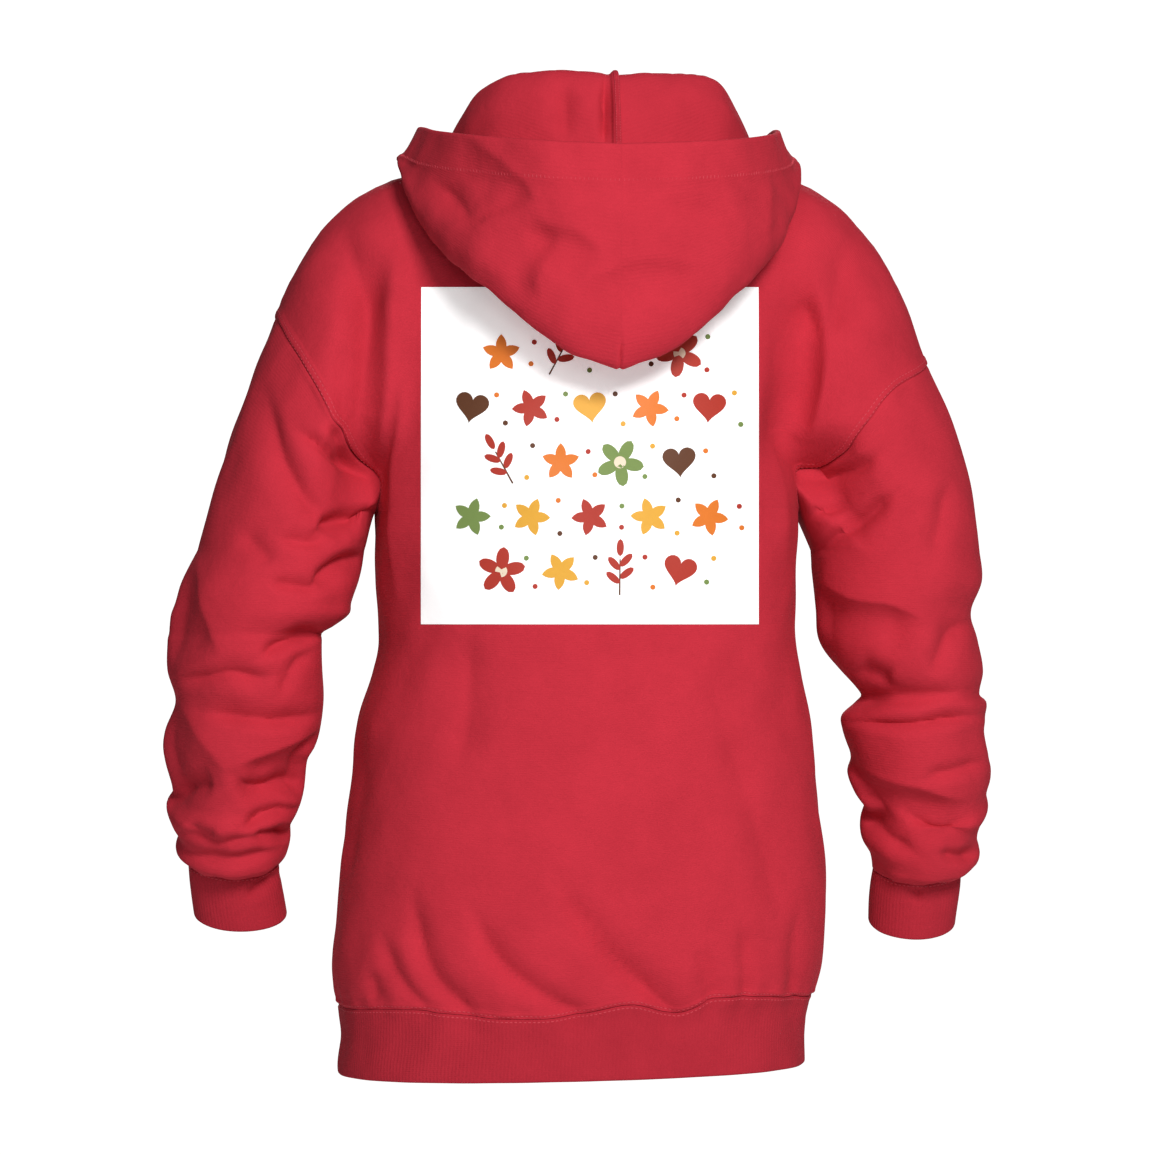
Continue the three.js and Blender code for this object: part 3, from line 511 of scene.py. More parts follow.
def cloth(name, points, normals, wall, material, closed=False, round_ends=(False, False), extra=0):
    """A cloth wall of one closed mesh: its face, its back and its edges."""
    extra = np.broadcast_to(extra, points.shape[:2])
    outer = points + normals * extra[..., None]
    inner = points - normals * (wall + extra)[..., None]
    rows = list(outer)
    if round_ends[1]:
        rows += rounded_rim(outer, inner, -1, -2)
    rows += list(inner[::-1])
    if round_ends[0]:
        rows += rounded_rim(outer, inner, 0, 1)[::-1]
    grid = np.array(rows)
    count, columns = grid.shape[:2]
    faces = grid_faces(count, columns, True, closed).tolist()
    last = len(outer) - 1
    u = np.concatenate([[0], np.cumsum(np.linalg.norm(np.diff(outer, axis=1), axis=-1).mean(0))])
    v = np.concatenate([[0], np.cumsum(np.linalg.norm(np.diff(outer, axis=0), axis=-1).mean(1))])
    v = np.concatenate([v, np.full(count - 2 * len(outer), v[-1]), v[::-1]])
    if not closed:
        first_back = 2 * last + 1 + (RIM_ROWS if round_ends[1] else 0)
        for r in range(last):
            left = [r, r + 1, first_back - r - 1, first_back - r]
            faces.append([i * columns for i in left])
            faces.append([i * columns + columns - 1 for i in left[::-1]])
    piece = new_piece(name, grid.reshape(-1, 3), faces, [material], sharp=SHARP)
    mesh = piece.data
    corners = np.zeros(len(mesh.loops), np.int32)
    mesh.loops.foreach_get("vertex_index", corners)
    place = np.column_stack([u[corners % columns], v[corners // columns]]) * 0.001
    layer = mesh.uv_layers.new(name="Lay")
    layer.data.foreach_set("uv", place.astype(np.float32).ravel())
    faces_out(mesh)
    return piece


def faces_out(mesh):
    """Turns a closed mesh's faces outwards, where its volume comes out negative."""
    spots = np.zeros(len(mesh.vertices) * 3)
    mesh.vertices.foreach_get("co", spots)
    spots = spots.reshape(-1, 3)
    mesh.calc_loop_triangles()
    corners = np.zeros(len(mesh.loop_triangles) * 3, np.int32)
    mesh.loop_triangles.foreach_get("vertices", corners)
    a, b, c = (spots[corners[i::3]] for i in range(3))
    if (a * np.cross(b, c)).sum() < 0:
        mesh.flip_normals()


def stitches(name, courses):
    """Sewing thread as short raised grains, each 2 to 3 mm, along courses of points and normals."""
    grain = [(0, k + 1, k) for k in range(1, 5)]
    grain += [(k, k + 1, k + 6, k + 5) for k in range(1, 5)]
    grain += [(11, k, k + 1) for k in range(6, 10)]
    spots = []
    for line, out, pitch, width in courses:
        run = run_along(line)
        count = max(int(run[-1] / pitch), 1)
        step = run[-1] / count
        middle = (np.arange(count) + 0.5) * step
        ahead = place_at(np.minimum(middle + step * 0.4, run[-1]), run, line)
        behind = place_at(np.maximum(middle - step * 0.4, 0), run, line)
        up = unit(place_at(middle, run, out))
        beside = unit(np.cross(ahead - behind, up)) * width / 2
        centre = (ahead + behind) / 2
        rise = up * width * 0.45
        rows = [behind - rise * 0.5]
        for part in (-0.25, 0.25):
            here = centre + (ahead - behind) * part
            for turn in (0, 0.25, 0.5, 0.75, 1.0):
                rows.append(here + (beside * cos(pi * turn) + rise * sin(pi * turn)) * 0.8
                            - rise * 0.15)
        rows.append(ahead - rise * 0.5)
        spots.append(np.stack(rows, 1).reshape(-1, 3))
    spots = np.concatenate(spots)
    faces = [[start + k for k in corner] for start in range(0, len(spots), 12) for corner in grain]
    return sewn(new_piece(name, spots, faces, [thread]))


def course_beside(points, out, seam_line, distance):
    """The course of points at one distance from a seam, one on each row that leads away from it."""
    d = distance_from(points, seam_line)
    line, normals = [], []
    for row, row_out, gap in zip(points, out, d):
        gap = np.maximum.accumulate(gap)
        line.append(place_at(distance, gap, row))
        normals.append(place_at(distance, gap, row_out))
    return np.array(line), unit(np.array(normals))


def fill(node, *slots, **named):
    """Gives a node its values: settings of its own, constants for its sockets, or other nodes'
    outputs, which are wired in. An underscore stands for the blank in a socket's name."""
    pairs = [(node.inputs[i], value) for i, value in enumerate(slots)]
    for name, value in named.items():
        if hasattr(node, name):
            setattr(node, name, value)
        else:
            pairs.append((node.inputs[name.replace("_", " ")], value))
    for socket, value in pairs:
        if isinstance(value, bpy.types.NodeSocket):
            node.id_data.links.new(value, socket)
        else:
            socket.default_value = value


def new_material(name):
    """A material, its shader, and a way to add a node and get its wanted output."""
    material = bpy.data.materials.new(name)
    material.use_nodes = True
    nodes = material.node_tree.nodes

    def add(kind, output, *slots, **named):
        node = nodes.new("ShaderNode" + kind)
        fill(node, *slots, **named)
        return node.outputs[output]

    return material, nodes["Principled BSDF"], add


def knit_surface(name, face, shade, row_pitch, row_depth, rib_pitch=None, rib_depth=None):
    """Cotton knit: rows and wales as relief, with a soft fuzz and a slightly uneven dye."""
    material, shader, add = new_material(name)
    place, lay = add("TexCoord", "Object"), add("TexCoord", "UV")

    def noise(scale, detail, rough=0.6):
        return add("TexNoise", "Fac", Vector=place, Scale=scale, Detail=detail, Roughness=rough)

    def stripes(direction, pitch, distortion):
        return add("TexWave", "Fac", bands_direction=direction, Vector=lay, Detail=1.0,
                   Scale=2 * pi / (20 * pitch), Distortion=distortion, Detail_Scale=0.4)

    fuzz = noise(1400, 2)
    weak_fuzz = add("Math", 0, fuzz, 0.45, operation="MULTIPLY")
    dye = add("Math", 0, noise(34, 5, 0.65), 0.55, weak_fuzz, operation="MULTIPLY_ADD")
    spread = add("MapRange", "Result", Value=dye, From_Min=0.3, From_Max=0.62)
    colour = add("Mix", "Result", data_type="RGBA", A=(*shade, 1), B=(*face, 1), Factor=spread)

    relief = add("Bump", "Normal", Height=noise(150, 4), Strength=1.0, Distance=0.0005)
    layers = [(stripes("Y", row_pitch, 2.2), row_depth)]
    if rib_pitch:
        layers.append((stripes("X", rib_pitch, 0.5), rib_depth))
    for height, depth in layers + [(fuzz, 0.00018)]:
        relief = add("Bump", "Normal", Height=height, Strength=1.0, Distance=depth, Normal=relief)
    fill(shader, Base_Color=colour, Normal=relief, Roughness=0.92, Specular_IOR_Level=0.12,
         Sheen_Weight=0.05, Sheen_Roughness=0.4, Sheen_Tint=(1.0, 0.2, 0.25, 1))
    return material


def thread_surface():
    """Polyester thread, a little lighter than the cloth, with its twist as fine relief."""
    material, shader, add = new_material("red thread")
    twist = add("TexNoise", "Fac", Vector=add("TexCoord", "Object"), Scale=2600, Detail=2.0)
    colour = add("Mix", "Result", data_type="RGBA", A=(0.52, 0.034, 0.054, 1),
                 B=(0.6, 0.05, 0.075, 1), Factor=twist)
    relief = add("Bump", "Normal", Height=twist, Distance=0.0001)
    fill(shader, Base_Color=colour, Normal=relief, Roughness=0.6)
    return material


thread = thread_surface()
fleece = knit_surface("red fleece", (0.54, 0.0275, 0.047), (0.455, 0.022, 0.038), 0.0014, 0.00006)

# The folds on the side that the photographer didn't see, in millimetres of the real garment.
hidden_folds = [
    (12, 12, 4, [(-128, -80), (-130, -120), (-130, -150)]),
    (12, 12, 4, [(138, -85), (136, -125), (132, -150)]),
    (14, 8, 4, [(-243, -226), (-200, -240), (-155, -238)]),
    (16, 8, 5, [(-258, -292), (-215, -282), (-170, -290)]),
    (14, 8, 4, [(-260, -322), (-220, -332), (-175, -326)]),
    (14, 8, 4, [(-258, -364), (-225, -358), (-184, -366)]),
    (12, 7, 4, [(-252, -394), (-225, -401), (-194, -393)]),
    (14, 8, 4, [(145, -232), (190, -222), (233, -230)]),
    (16, 8, 5, [(155, -276), (195, -268), (236, -280)]),
    (14, 8, 5, [(163, -320), (205, -312), (246, -320)]),
    (12, 8, 4, [(168, -352), (208, -360), (244, -352)]),
    (12, 7, 4, [(176, -390), (212, -384), (240, -392)]),
    (26, 26, 3, [(50, -300), (62, -360), (76, -430)]),
    (20, 16, 3, [(-22, -440), (-4, -470), (-16, -505)]),
    (20, 16, 3, [(-92, -430), (-80, -470), (-96, -506)]),
]


def back_off(points, gap=SEAM_GAP / 2, edges="first last left right"):
    """Moves a panel's outermost rows and columns a little back from its seams."""
    moved = points.copy()
    for edge in edges.split():
        at, inside = {"first": ((0,), (1,)), "last": ((-1,), (-2,)),
                      "left": ((slice(None), 0), (slice(None), 1)),
                      "right": ((slice(None), -1), (slice(None), -2))}[edge]
        moved[at] += unit(points[inside] - points[at]) * gap
    return moved


def panel(half, name, node):
    """A panel, its folded form with the directions out of it, and the same with its seams."""
    smooth, out = panel_form(half)
    lying = folded(smooth, out, hidden_folds)
    points = panel_seams(lying, out)
    normals = share_direction(points, out, half)
    piece = cloth(name, back_off(points), normals, FLEECE_WALL, fleece)
    return sewn(piece, node), lying, out, points, normals


back_panel, back_folded, back_out, back_points, back_normals = panel(BACK, "back-panel", "back_panel")

# The front panel. The real one's face is hidden in the photograph, so it is plain: one piece of
# the same fleece, cut lower at the neck and sewn to the back at the sides and the shoulders.
front_panel, front_folded, front_out, front_points, front_normals = panel(
    FRONT, "front-panel", "front_panel")

# The sleeves. Each real one is one piece of fleece, sewn into a tube and set in at the dropped
# armhole. It is longer than the child's arm, so it lies in folds down to the cuff.
sleeve_edges = {
    LEFT: table("z outer inner middle depth", [
        (-440, -251, -191, 38, 24), (-422, -252.5, -194, 33, 26), (-412, -259, -190, 29, 33),
        (-403, -257, -187.5, 26, 35), (-394, -262, -187, 23, 40), (-384, -265, -182, 20, 44),
        (-375, -261, -179, 18, 43), (-356, -266, -177, 13, 49), (-347, -267.5, -172, 11, 51),
        (-337, -266, -169, 9, 51), (-319, -259, -167, 5, 50), (-300, -264, -167.5, 2, 55),
        (-281, -264, -168, 0, 56), (-276.5, -263, -168, 0, 56),
        (-272, -262.5, -161, -1, 57), (-265, -261.5, -151, -2, 59), (-258, -259, -149.5, -2, 60),
        (-244, -255, -145.5, -2, 60), (-225, -245, -142.5, -1, 61)]),
    RIGHT: table("z outer inner middle depth", [
        (-446, 232, 174, 38, 24), (-431, 232.5, 174, 35, 25), (-422, 240, 175, 32, 30),
        (-412, 244, 174, 29, 34), (-403, 242, 169, 26, 36), (-394, 244, 169, 23, 38),
        (-384, 249, 171, 21, 43), (-375, 248, 164.5, 19, 42),
        (-365, 250.5, 160.5, 16, 45), (-356, 250.5, 162.5, 14, 47),
        (-337, 247, 157.5, 10, 49), (-328, 248, 157, 8, 50), (-319, 247.5, 166, 6, 48),
        (-315, 243, 169, 5, 47), (-300, 245, 155.5, 2, 51), (-281, 242, 143, 0, 55),
        (-262, 238, 140, -2, 57), (-244, 245, 139, -2, 60), (-225, 243, 138, -1, 61)]),
}
cuff_edges = {
    LEFT: table("t outer inner z middle depth", [
        (0, -252, -194.5, -419, 33, 22), (0.3, -251, -193, -430, 37, 21),
        (1, -248, -189.5, -451, 45, 22)]),
    RIGHT: table("t outer inner z middle depth", [
        (0, 232.5, 175.5, -423, 34, 22), (0.3, 232, 174, -434, 38, 21),
        (1, 229, 173, -456, 46, 22)]),
}
CUFF_LEAN = 0.46
LOFT_END_Z = -225
LOFT_SWELL = {LEFT: 3, RIGHT: 7}
SLEEVE_TURNS = pi * np.arange(2 * ARMHOLE_STEPS) / ARMHOLE_STEPS


def unseen(x, y, z):
    """The real x and z of a place that shows at x and z to the photographer, y being real."""
    share = (VIEW_DISTANCE - x * sin(VIEW_TURN) + y * cos(VIEW_TURN)) / VIEW_DISTANCE
    across = (x - VIEW_X) * share + VIEW_X
    return (across - y * sin(VIEW_TURN)) / cos(VIEW_TURN), VIEW_Z + (z - VIEW_Z) * share


def ring(edges, z, lean):
    """Rings round an arm, from their two edges as the photographer saw them."""
    centre, real_z = unseen((edges["outer"] + edges["inner"]) / 2, edges["middle"], z)
    reach = (edges["inner"] - edges["outer"]) / 2
    y = -edges["depth"][..., None] * np.sin(SLEEVE_TURNS)
    x = centre[..., None] + reach[..., None] * np.cos(SLEEVE_TURNS)
    return np.stack([x, edges["middle"][..., None] + y, real_z[..., None] + lean * y], -1)


def sleeve_rings(side, z):
    z = np.asarray(z, float)
    return ring(sleeve_edges[side](z), z, CUFF_LEAN * ease(-300, -420, z)[..., None])


def cuff_rings(side, t):
    edges = cuff_edges[side](np.asarray(t, float))
    return ring(edges, edges["z"], CUFF_LEAN)


def lattice_normals(points, sideways):
    around = np.roll(points, -1, axis=1) - np.roll(points, 1, axis=1)
    along = np.gradient(points, axis=0)
    return unit(np.cross(around, along)) * sideways


LOFT_LENGTH = 60
loft_steps = np.concatenate([beside_seam / LOFT_LENGTH, np.linspace(0.2, 1, 34)[1:]])
sleeve_steps = np.concatenate([np.linspace(0, 0.93, 126)[1:], np.linspace(0.93, 1, 16)[1:]])


def sleeve(side, name, node):
    back_edge, front_edge = (p[first_top_row:, EDGE_COLUMN[side]] for p in (back_folded, front_folded))
    loop = np.concatenate([back_edge[:-1], front_edge[:0:-1]])
    swell = side * LOFT_SWELL[side] * np.sin(pi * loft_steps)[:, None]
    top = sleeve_rings(side, LOFT_END_Z)
    t = loft_steps[:, None, None]
    loft = loop * (1 - t) + top * t
    loft[..., 0] += swell * (1 - np.cos(SLEEVE_TURNS)) / 2
    end_z = float(cuff_edges[side](0.0)["z"])
    low = sleeve_rings(side, LOFT_END_Z + (end_z - LOFT_END_Z) * sleeve_steps)
    pinch = ease(0.96, 1, sleeve_steps)[:, None, None]
    low = low * (1 - pinch) + cuff_rings(side, 0.0) * pinch
    smooth = np.concatenate([loft, low])
    out = lattice_normals(smooth, -side)
    points = folded(smooth, out, hidden_folds)
    held = ease(0, 6, np.linalg.norm(smooth - smooth[0], axis=-1))[..., None]
    held = held * ease(0, 8, np.linalg.norm(smooth - smooth[-1], axis=-1))[..., None]
    points = smooth * (1 - held) + points * held
    d_top = distance_from(points[:SEAM_ROWS], points[0])
    points[:SEAM_ROWS] += out[:SEAM_ROWS] * plain_seam(d_top, 0.35)[..., None]
    d_end = distance_from(points[-SEAM_ROWS:], points[-1])
    relief = plain_seam(d_end) + gathered(d_end, run_along(points[-1]))
    points[-SEAM_ROWS:] += out[-SEAM_ROWS:] * relief[..., None]
    shared = np.concatenate([
        armhole_direction(back_out, BACK, side)[:-1],
        armhole_direction(front_out, FRONT, side)[:0:-1]])
    share = (1 - ease(0, 10, d_top))[..., None]
    out[:SEAM_ROWS] = unit(out[:SEAM_ROWS] * (1 - share) + shared * share)
    piece = cloth(name, back_off(points, edges="first last"), out, FLEECE_WALL, fleece, closed=True)
    return sewn(piece, node), points, out


sleeve_left, left_sleeve_points, left_sleeve_out = sleeve(LEFT, "sleeve-left", "sleeve_left")
sleeve_right, right_sleeve_points, right_sleeve_out = sleeve(RIGHT, "sleeve-right", "sleeve_right")


COURSE_COLUMNS = 26


def armhole_courses(side, distance):
    """A course of stitches along the back's and the front's edge of one armhole."""
    near = slice(0, COURSE_COLUMNS) if side == LEFT else slice(-1, -COURSE_COLUMNS - 1, -1)
    parts = [course_beside(p[first_top_row:, near], n[first_top_row:, near],
                           p[first_top_row:, EDGE_COLUMN[side]], distance)
             for p, n in ((back_points, back_normals), (front_points, front_normals))]
    (back_line, back_up), (front_line, front_up) = parts
    return (np.concatenate([back_line, front_line[-2::-1]]),
            np.concatenate([back_up, front_up[-2::-1]]))


armhole_stitches = stitches("armhole-stitches", [
    (*armhole_courses(side, distance), 3.0, 0.75) for side in (LEFT, RIGHT) for distance in (1.6, 4.2)])

# The cuffs. Each real one is a tube of cotton rib, folded double and sewn to the sleeve's end
# with a stitched seam. Its open end is the fold.
RIB_WALL, CUFF_HEIGHT = 3.0, 36
rib = knit_surface("red rib", (0.45, 0.0225, 0.039), (0.385, 0.018, 0.032),
                   0.0012, 0.00006, 0.0023, 0.00012)
cuff_steps = np.concatenate([beside_seam[:12] / CUFF_HEIGHT, np.linspace(0.2, 1, 22)[1:]])


def cuff(side, name, node):
    points = cuff_rings(side, cuff_steps)
    out = lattice_normals(points, -side)
    d = distance_from(points, points[0])
    x, z = seen(points)
    creases = {LEFT: [(8, 8, 2.4, [(-215, -443), (-205, -434), (-195, -427)])],
               RIGHT: [(8, 8, 1.6, [(200, -430), (206, -445)])]}[side]
    depth = fold_depth(x, z, creases) * (out[..., 1] < 0) * ease(0, 6, d)
    pulled = gathered(d, np.linspace(0, 140, points.shape[1]))
    relief = plain_seam(d) + 0.6 * pulled - depth + 0.3 * unevenness(points)
    points = points + out * relief[..., None]
    piece = cloth(name, back_off(points, edges="first"), out, RIB_WALL, rib, closed=True,
                  round_ends=(False, True))
    return sewn(piece, node), points, out


cuff_left, left_cuff_points, left_cuff_out = cuff(LEFT, "cuff-left", "cuff_left")
cuff_right, right_cuff_points, right_cuff_out = cuff(RIGHT, "cuff-right", "cuff_right")


def round_course(points, out, distance):
    """A course of stitches right round a tube, at a distance from its first row."""
    line, up = course_beside(points[:SEAM_ROWS].transpose(1, 0, 2), out[:SEAM_ROWS].transpose(1, 0, 2),
                             np.vstack([points[0], points[0, :1]]), distance)
    return np.vstack([line, line[:1]]), np.vstack([up, up[:1]]), 2.8, 0.7


cuff_stitches = stitches("cuff-stitches", [round_course(points, out, 1.7) for points, out in (
    (left_sleeve_points[::-1], left_sleeve_out[::-1]), (left_cuff_points, left_cuff_out),
    (right_sleeve_points[::-1], right_sleeve_out[::-1]), (right_cuff_points, right_cuff_out))])

# The waistband. The real one is a tube of the same rib, folded double and sewn round the body's
# lower edge while stretched, so the fleece above it is drawn in.
HEM_Z, HEM_TILT, BAND_HEIGHT = -546, 0.018, 42
rim = np.concatenate([back_folded[0], front_folded[0, -2:0:-1]])
rim_u = np.concatenate([panel_u, panel_u[-2:0:-1]])
rim_half = np.concatenate([np.full(len(panel_u), BACK), np.full(len(panel_u) - 2, FRONT)])
band_steps = np.concatenate([beside_seam[:12] / BAND_HEIGHT, np.linspace(0.18, 1, 24)[1:]])
hem = HEM_Z + HEM_TILT * rim[:, 0]
band_z = rim[:, 2] + (hem - rim[:, 2]) * band_steps[:, None]
band_points = np.where((rim_half == BACK)[:, None], side_form(BACK, rim_u, band_z),
                       side_form(FRONT, rim_u, band_z))
easing = ease(0, 0.45, band_steps)[:, None, None]
band_points = (rim + band_points - band_points[0]) * (1 - easing) + band_points * easing
band_out = slope_of_body(band_points)
band_out[..., 2] = 0
band_out = unit(band_out)
d_band = distance_from(band_points[:SEAM_ROWS], band_points[0])
band_relief = plain_seam(d_band) + 0.35 * gathered(d_band, run_along(rim))
band_points[:SEAM_ROWS] += band_out[:SEAM_ROWS] * band_relief[..., None]
band_waves = 0.6 * unevenness(band_points) * ease(0, 0.3, band_steps)[:, None]
band_points += band_out * band_waves[..., None]
waistband = sewn(cloth("waistband-rib", back_off(band_points, edges="first"), band_out, RIB_WALL, rib,
                       closed=True, round_ends=(False, True)), "waistband")

body_rim = np.concatenate([back_points[:SEAM_ROWS], front_points[:SEAM_ROWS, -2:0:-1]], 1)
body_rim_out = np.concatenate([back_normals[:SEAM_ROWS], front_normals[:SEAM_ROWS, -2:0:-1]], 1)
band_stitches = stitches("waistband-stitches", [
    round_course(body_rim, body_rim_out, 1.8), round_course(band_points, band_out, 1.8)])

# The hood, thrown back. The real one is two mirrored halves of the fleece, joined by one seam
# over the head and sewn round the neck. Its rim is turned in 25 mm and stitched down.
HOOD_CLEARANCE, HOOD_SHIFT, HEM_EXTRA = 4, 5, 0.8
HOOD_ACROSS, HOOD_ALONG, HOOD_AROUND = 110, 128, 290
BAG_SHARE, BAG_REACH, CENTRE_ROWS, CENTRE_GAP = 0.62, 30, 24, 0.015
HEM_WIDTH, HEM_STITCH_AT = 25, 22
hood_form = table("t foldX foldY foldZ bagX bagY bagZ rimX rimY rimZ", [
    (0, 0, -88, 61.5, 0, -140, -119, 0, -154, 14),
    (0.14, 38, -84, 63.5, 36, -137, -104, 43, -148, 16),
    (0.28, 66, -68, 60, 76, -120, -70, 81, -121, 21),
    (0.42, 79, -38, 46, 106, -78, -38, 104, -76, 28),
    (0.56, 82, 0, 32, 118, -28, 2, 111, -24, 35),
    (0.7, 72, 33, 21, 100, 30, 3, 99, 30, 25),
    (0.85, 41, 58, 5, 59, 68, -11, 62, 73, 9),
    (1, 0, 66, -16, 0, 74, -13, 0, 82, -8),
])
hood_folds = [
    (0, 18, 4, [(-80, 38), (-54, 17), (-38, 2), (-31, -16)]),
    (14, 14, 2.6, [(-98, 6), (-88, -6), (-76, -20)]),
    (0, 12, 2.6, [(-42, -20), (-16, -23), (-2, -29), (14, -46)]),
    (0, 14, 3, [(-16, -26), (-27, -40), (-33, -54), (-34, -74)]),
    (0, 12, 2.2, [(-16, -50), (11, -50), (25, -44), (41, -42), (80, -50)]),
    (16, 16, 1.8, [(44, -6), (88, -20)]),
    (9, 9, -1.6, [(111, 8), (111, -30)]),
]


def rounded_course(corners, count):
    """A centripetal curve through each column's corners, in equal steps along its length."""
    first, last = 2 * corners[:, :1] - corners[:, 1:2], 2 * corners[:, -1:] - corners[:, -2:-1]
    p = np.concatenate([first, corners, last], 1)
    gap = np.maximum(np.linalg.norm(np.diff(p, axis=1), axis=-1, keepdims=True), 1e-4) ** 0.5
    pieces = []
    for i in range(corners.shape[1] - 1):
        p0, p1, p2, p3 = (p[:, i + k] for k in range(4))
        g0, g1, g2 = (gap[:, i + k] for k in range(3))
        m1 = ((p1 - p0) / g0 - (p2 - p0) / (g0 + g1) + (p2 - p1) / g1) * g1
        m2 = ((p2 - p1) / g1 - (p3 - p1) / (g1 + g2) + (p3 - p2) / g2) * g1
        t = (np.arange(24) / 24)[:, None, None]
        pieces.append(p1 + m1 * t + (3 * (p2 - p1) - 2 * m1 - m2) * t ** 2
                      + (2 * (p1 - p2) + m1 + m2) * t ** 3)
    fine = np.concatenate(pieces + [corners[None, :, -1]]).transpose(1, 0, 2)
    wanted = np.linspace(0, 1, count + 1)
    return np.array([place_at(wanted * run[-1], run, line) for run, line in zip(run_along(fine), fine)])


hood_t = np.concatenate([beside_seam[:12] / HOOD_AROUND, np.linspace(0.02, 1, HOOD_ACROSS)])
hood_t = np.unique(np.round(hood_t, 6))


def hood_half(side, name, node):
    h = hood_form(hood_t)
    closing = ease(1, 0.75, hood_t)[:, None]
    shift = HOOD_SHIFT * (1 - hood_t)
    seam = neck_points(hood_t, side)
    fold, bag, rim_line = (np.column_stack([side * h[k + "X"] + shift, h[k + "Y"], h[k + "Z"]])
                           for k in ("fold", "bag", "rim"))
    back = bag - fold
    back[:, 2] = 0
    reach = np.minimum(np.linalg.norm(back, axis=1, keepdims=True), BAG_REACH)
    back = unit(back)
    up = np.array([0, 0, 1.0])
    corners = np.stack([
        seam,
        seam * 0.45 + fold * 0.55 - back * 2 * closing,
        fold,
        fold + back * reach * 0.5 - up * 14 * closing,
        fold * 0.38 + bag * 0.62 - back * 6 * closing,
        bag - back * 7 * closing + up * 9 * closing,
        bag,
        bag + back * 9 * closing + up * 12 * closing,
        bag * 0.45 + rim_line * 0.55 + back * 7 * closing,
        rim_line,
    ], 1)
    points = rounded_course(corners, HOOD_ALONG)
    run = run_along(points)
    clear = HOOD_CLEARANCE * ease(0, 14, run)
    out = outside_body(points)
    low = (out < clear) & (run > 0)
    points[low] = settle(points[low], clear[low])
    across = np.gradient(points, axis=0)
    across[0], across[-1] = (side, 0, 0), (-side, 0, 0)
    normals = unit(np.cross(np.gradient(points, axis=1), across)) * -side
    share = run / run[:, -1:]
    outer_layer = ease(0.0, 0.06, share - BAG_SHARE)
    x, z = seen(points)
    depth = fold_depth(x, z, hood_folds) * outer_layer * ease(0.02, 0.3, -normals[..., 1])
    hollows = [(14, 14, -3, [(-16, 66), (-16, 30)]), (10, 4, -4, [(9, 70), (8, 25)])]
    trough = fold_depth(x, z, hollows) * ease(0, 0.3, normals[..., 1])
    uneven = 0.6 * unevenness(points * 1.2) * ease(0, 20, run)
    points = points - normals * (depth + trough * (1 - outer_layer) - uneven)[..., None]
    from_rim = run[:, -1:] - run
    hem_in = HEM_EXTRA * (1 - ease(HEM_WIDTH - 2.5, HEM_WIDTH - 0.5, from_rim))
    centre = distance_from(points[:CENTRE_ROWS], points[0])
    tip = 0.1 + 2.4 * ease(0.71, 0.67, share[:CENTRE_ROWS])
    points[:CENTRE_ROWS] += normals[:CENTRE_ROWS] * (plain_seam(centre) * tip)[..., None]
    extra = hem_in - 0.35 * np.exp(-((from_rim - HEM_STITCH_AT) / 0.8) ** 2)
    # The lattice runs across first, as the panels do.
    grid, out_grid = points.transpose(1, 0, 2), normals.transpose(1, 0, 2)
    cut = back_off(back_off(grid, edges="first"), CENTRE_GAP, "left")
    piece = cloth(name, cut, out_grid, FLEECE_WALL, fleece, round_ends=(False, True), extra=extra.T)
    return sewn(piece, node), grid, out_grid


hood_left, left_hood_points, left_hood_out = hood_half(LEFT, "hood-left", "hood_left")
hood_right, right_hood_points, right_hood_out = hood_half(RIGHT, "hood-right", "hood_right")

rim_courses = []
for points, out in ((left_hood_points, left_hood_out), (right_hood_points, right_hood_out)):
    from_rim = [p[::-1].transpose(1, 0, 2)[:, :COURSE_COLUMNS] for p in (points, out)]
    (low, low_up), (high, _) = (course_beside(*from_rim, points[-1], d) for d in (21.6, 18.4))
    run = run_along(low)
    for at in np.arange(1.5, run[-1], 2.6):
        ends = np.array([place_at(at, run, low), place_at(at, run, high)])
        up = place_at(at, run, low_up)
        rim_courses.append((ends + up * HEM_EXTRA * 0.8, np.array([up, up]), 4.0, 0.55))
rim_stitches = stitches("hood-hem-stitches", rim_courses)

# The hood's centre seam, inside. The seam's turnings are pressed to one side and sewn down, so
# they stand up as a narrow stitched ridge along the lining side.
RIDGE_ROWS, RIDGE_SPOTS = slice(6, 66), 9
RIDGE_REACH, RIDGE_HEIGHT, RIDGE_SUNK = 1.8, 1.4, 0.5
across = np.array([1.0, 0, 0])
ridge_up = unit(-left_hood_out[:, 0] * np.array([0, 1, 1.0]))[RIDGE_ROWS]
ridge_line = (left_hood_points[:, 0] - left_hood_out[:, 0] * FLEECE_WALL)[RIDGE_ROWS] + across * 1.9
section = [(RIDGE_REACH * cos(a), RIDGE_HEIGHT * sin(a) ** 0.6 - RIDGE_SUNK)
           for a in pi * np.arange(RIDGE_SPOTS) / (RIDGE_SPOTS - 1)]
ridge_rows = np.stack([ridge_line + across * x + ridge_up * h for x, h in section], 1)
ridge_faces = grid_faces(len(ridge_rows), RIDGE_SPOTS, False, False).tolist()
last_spot = len(ridge_rows) * RIDGE_SPOTS - 1
ridge_faces += [list(range(RIDGE_SPOTS)), [last_spot - k for k in range(RIDGE_SPOTS)]]
centre_seam = sewn(new_piece("hood-centre-seam", ridge_rows.reshape(-1, 3), ridge_faces, [fleece],
                             sharp=SHARP))
centre_seam.data.uv_layers.new(name="Lay")
seam_stitches = stitches("hood-centre-stitches", [
    (ridge_line + across * x + ridge_up * h, ridge_up, 1.7, 0.5)
    for x, h in ((-1.1, 0.7), (1.2, 0.65))])

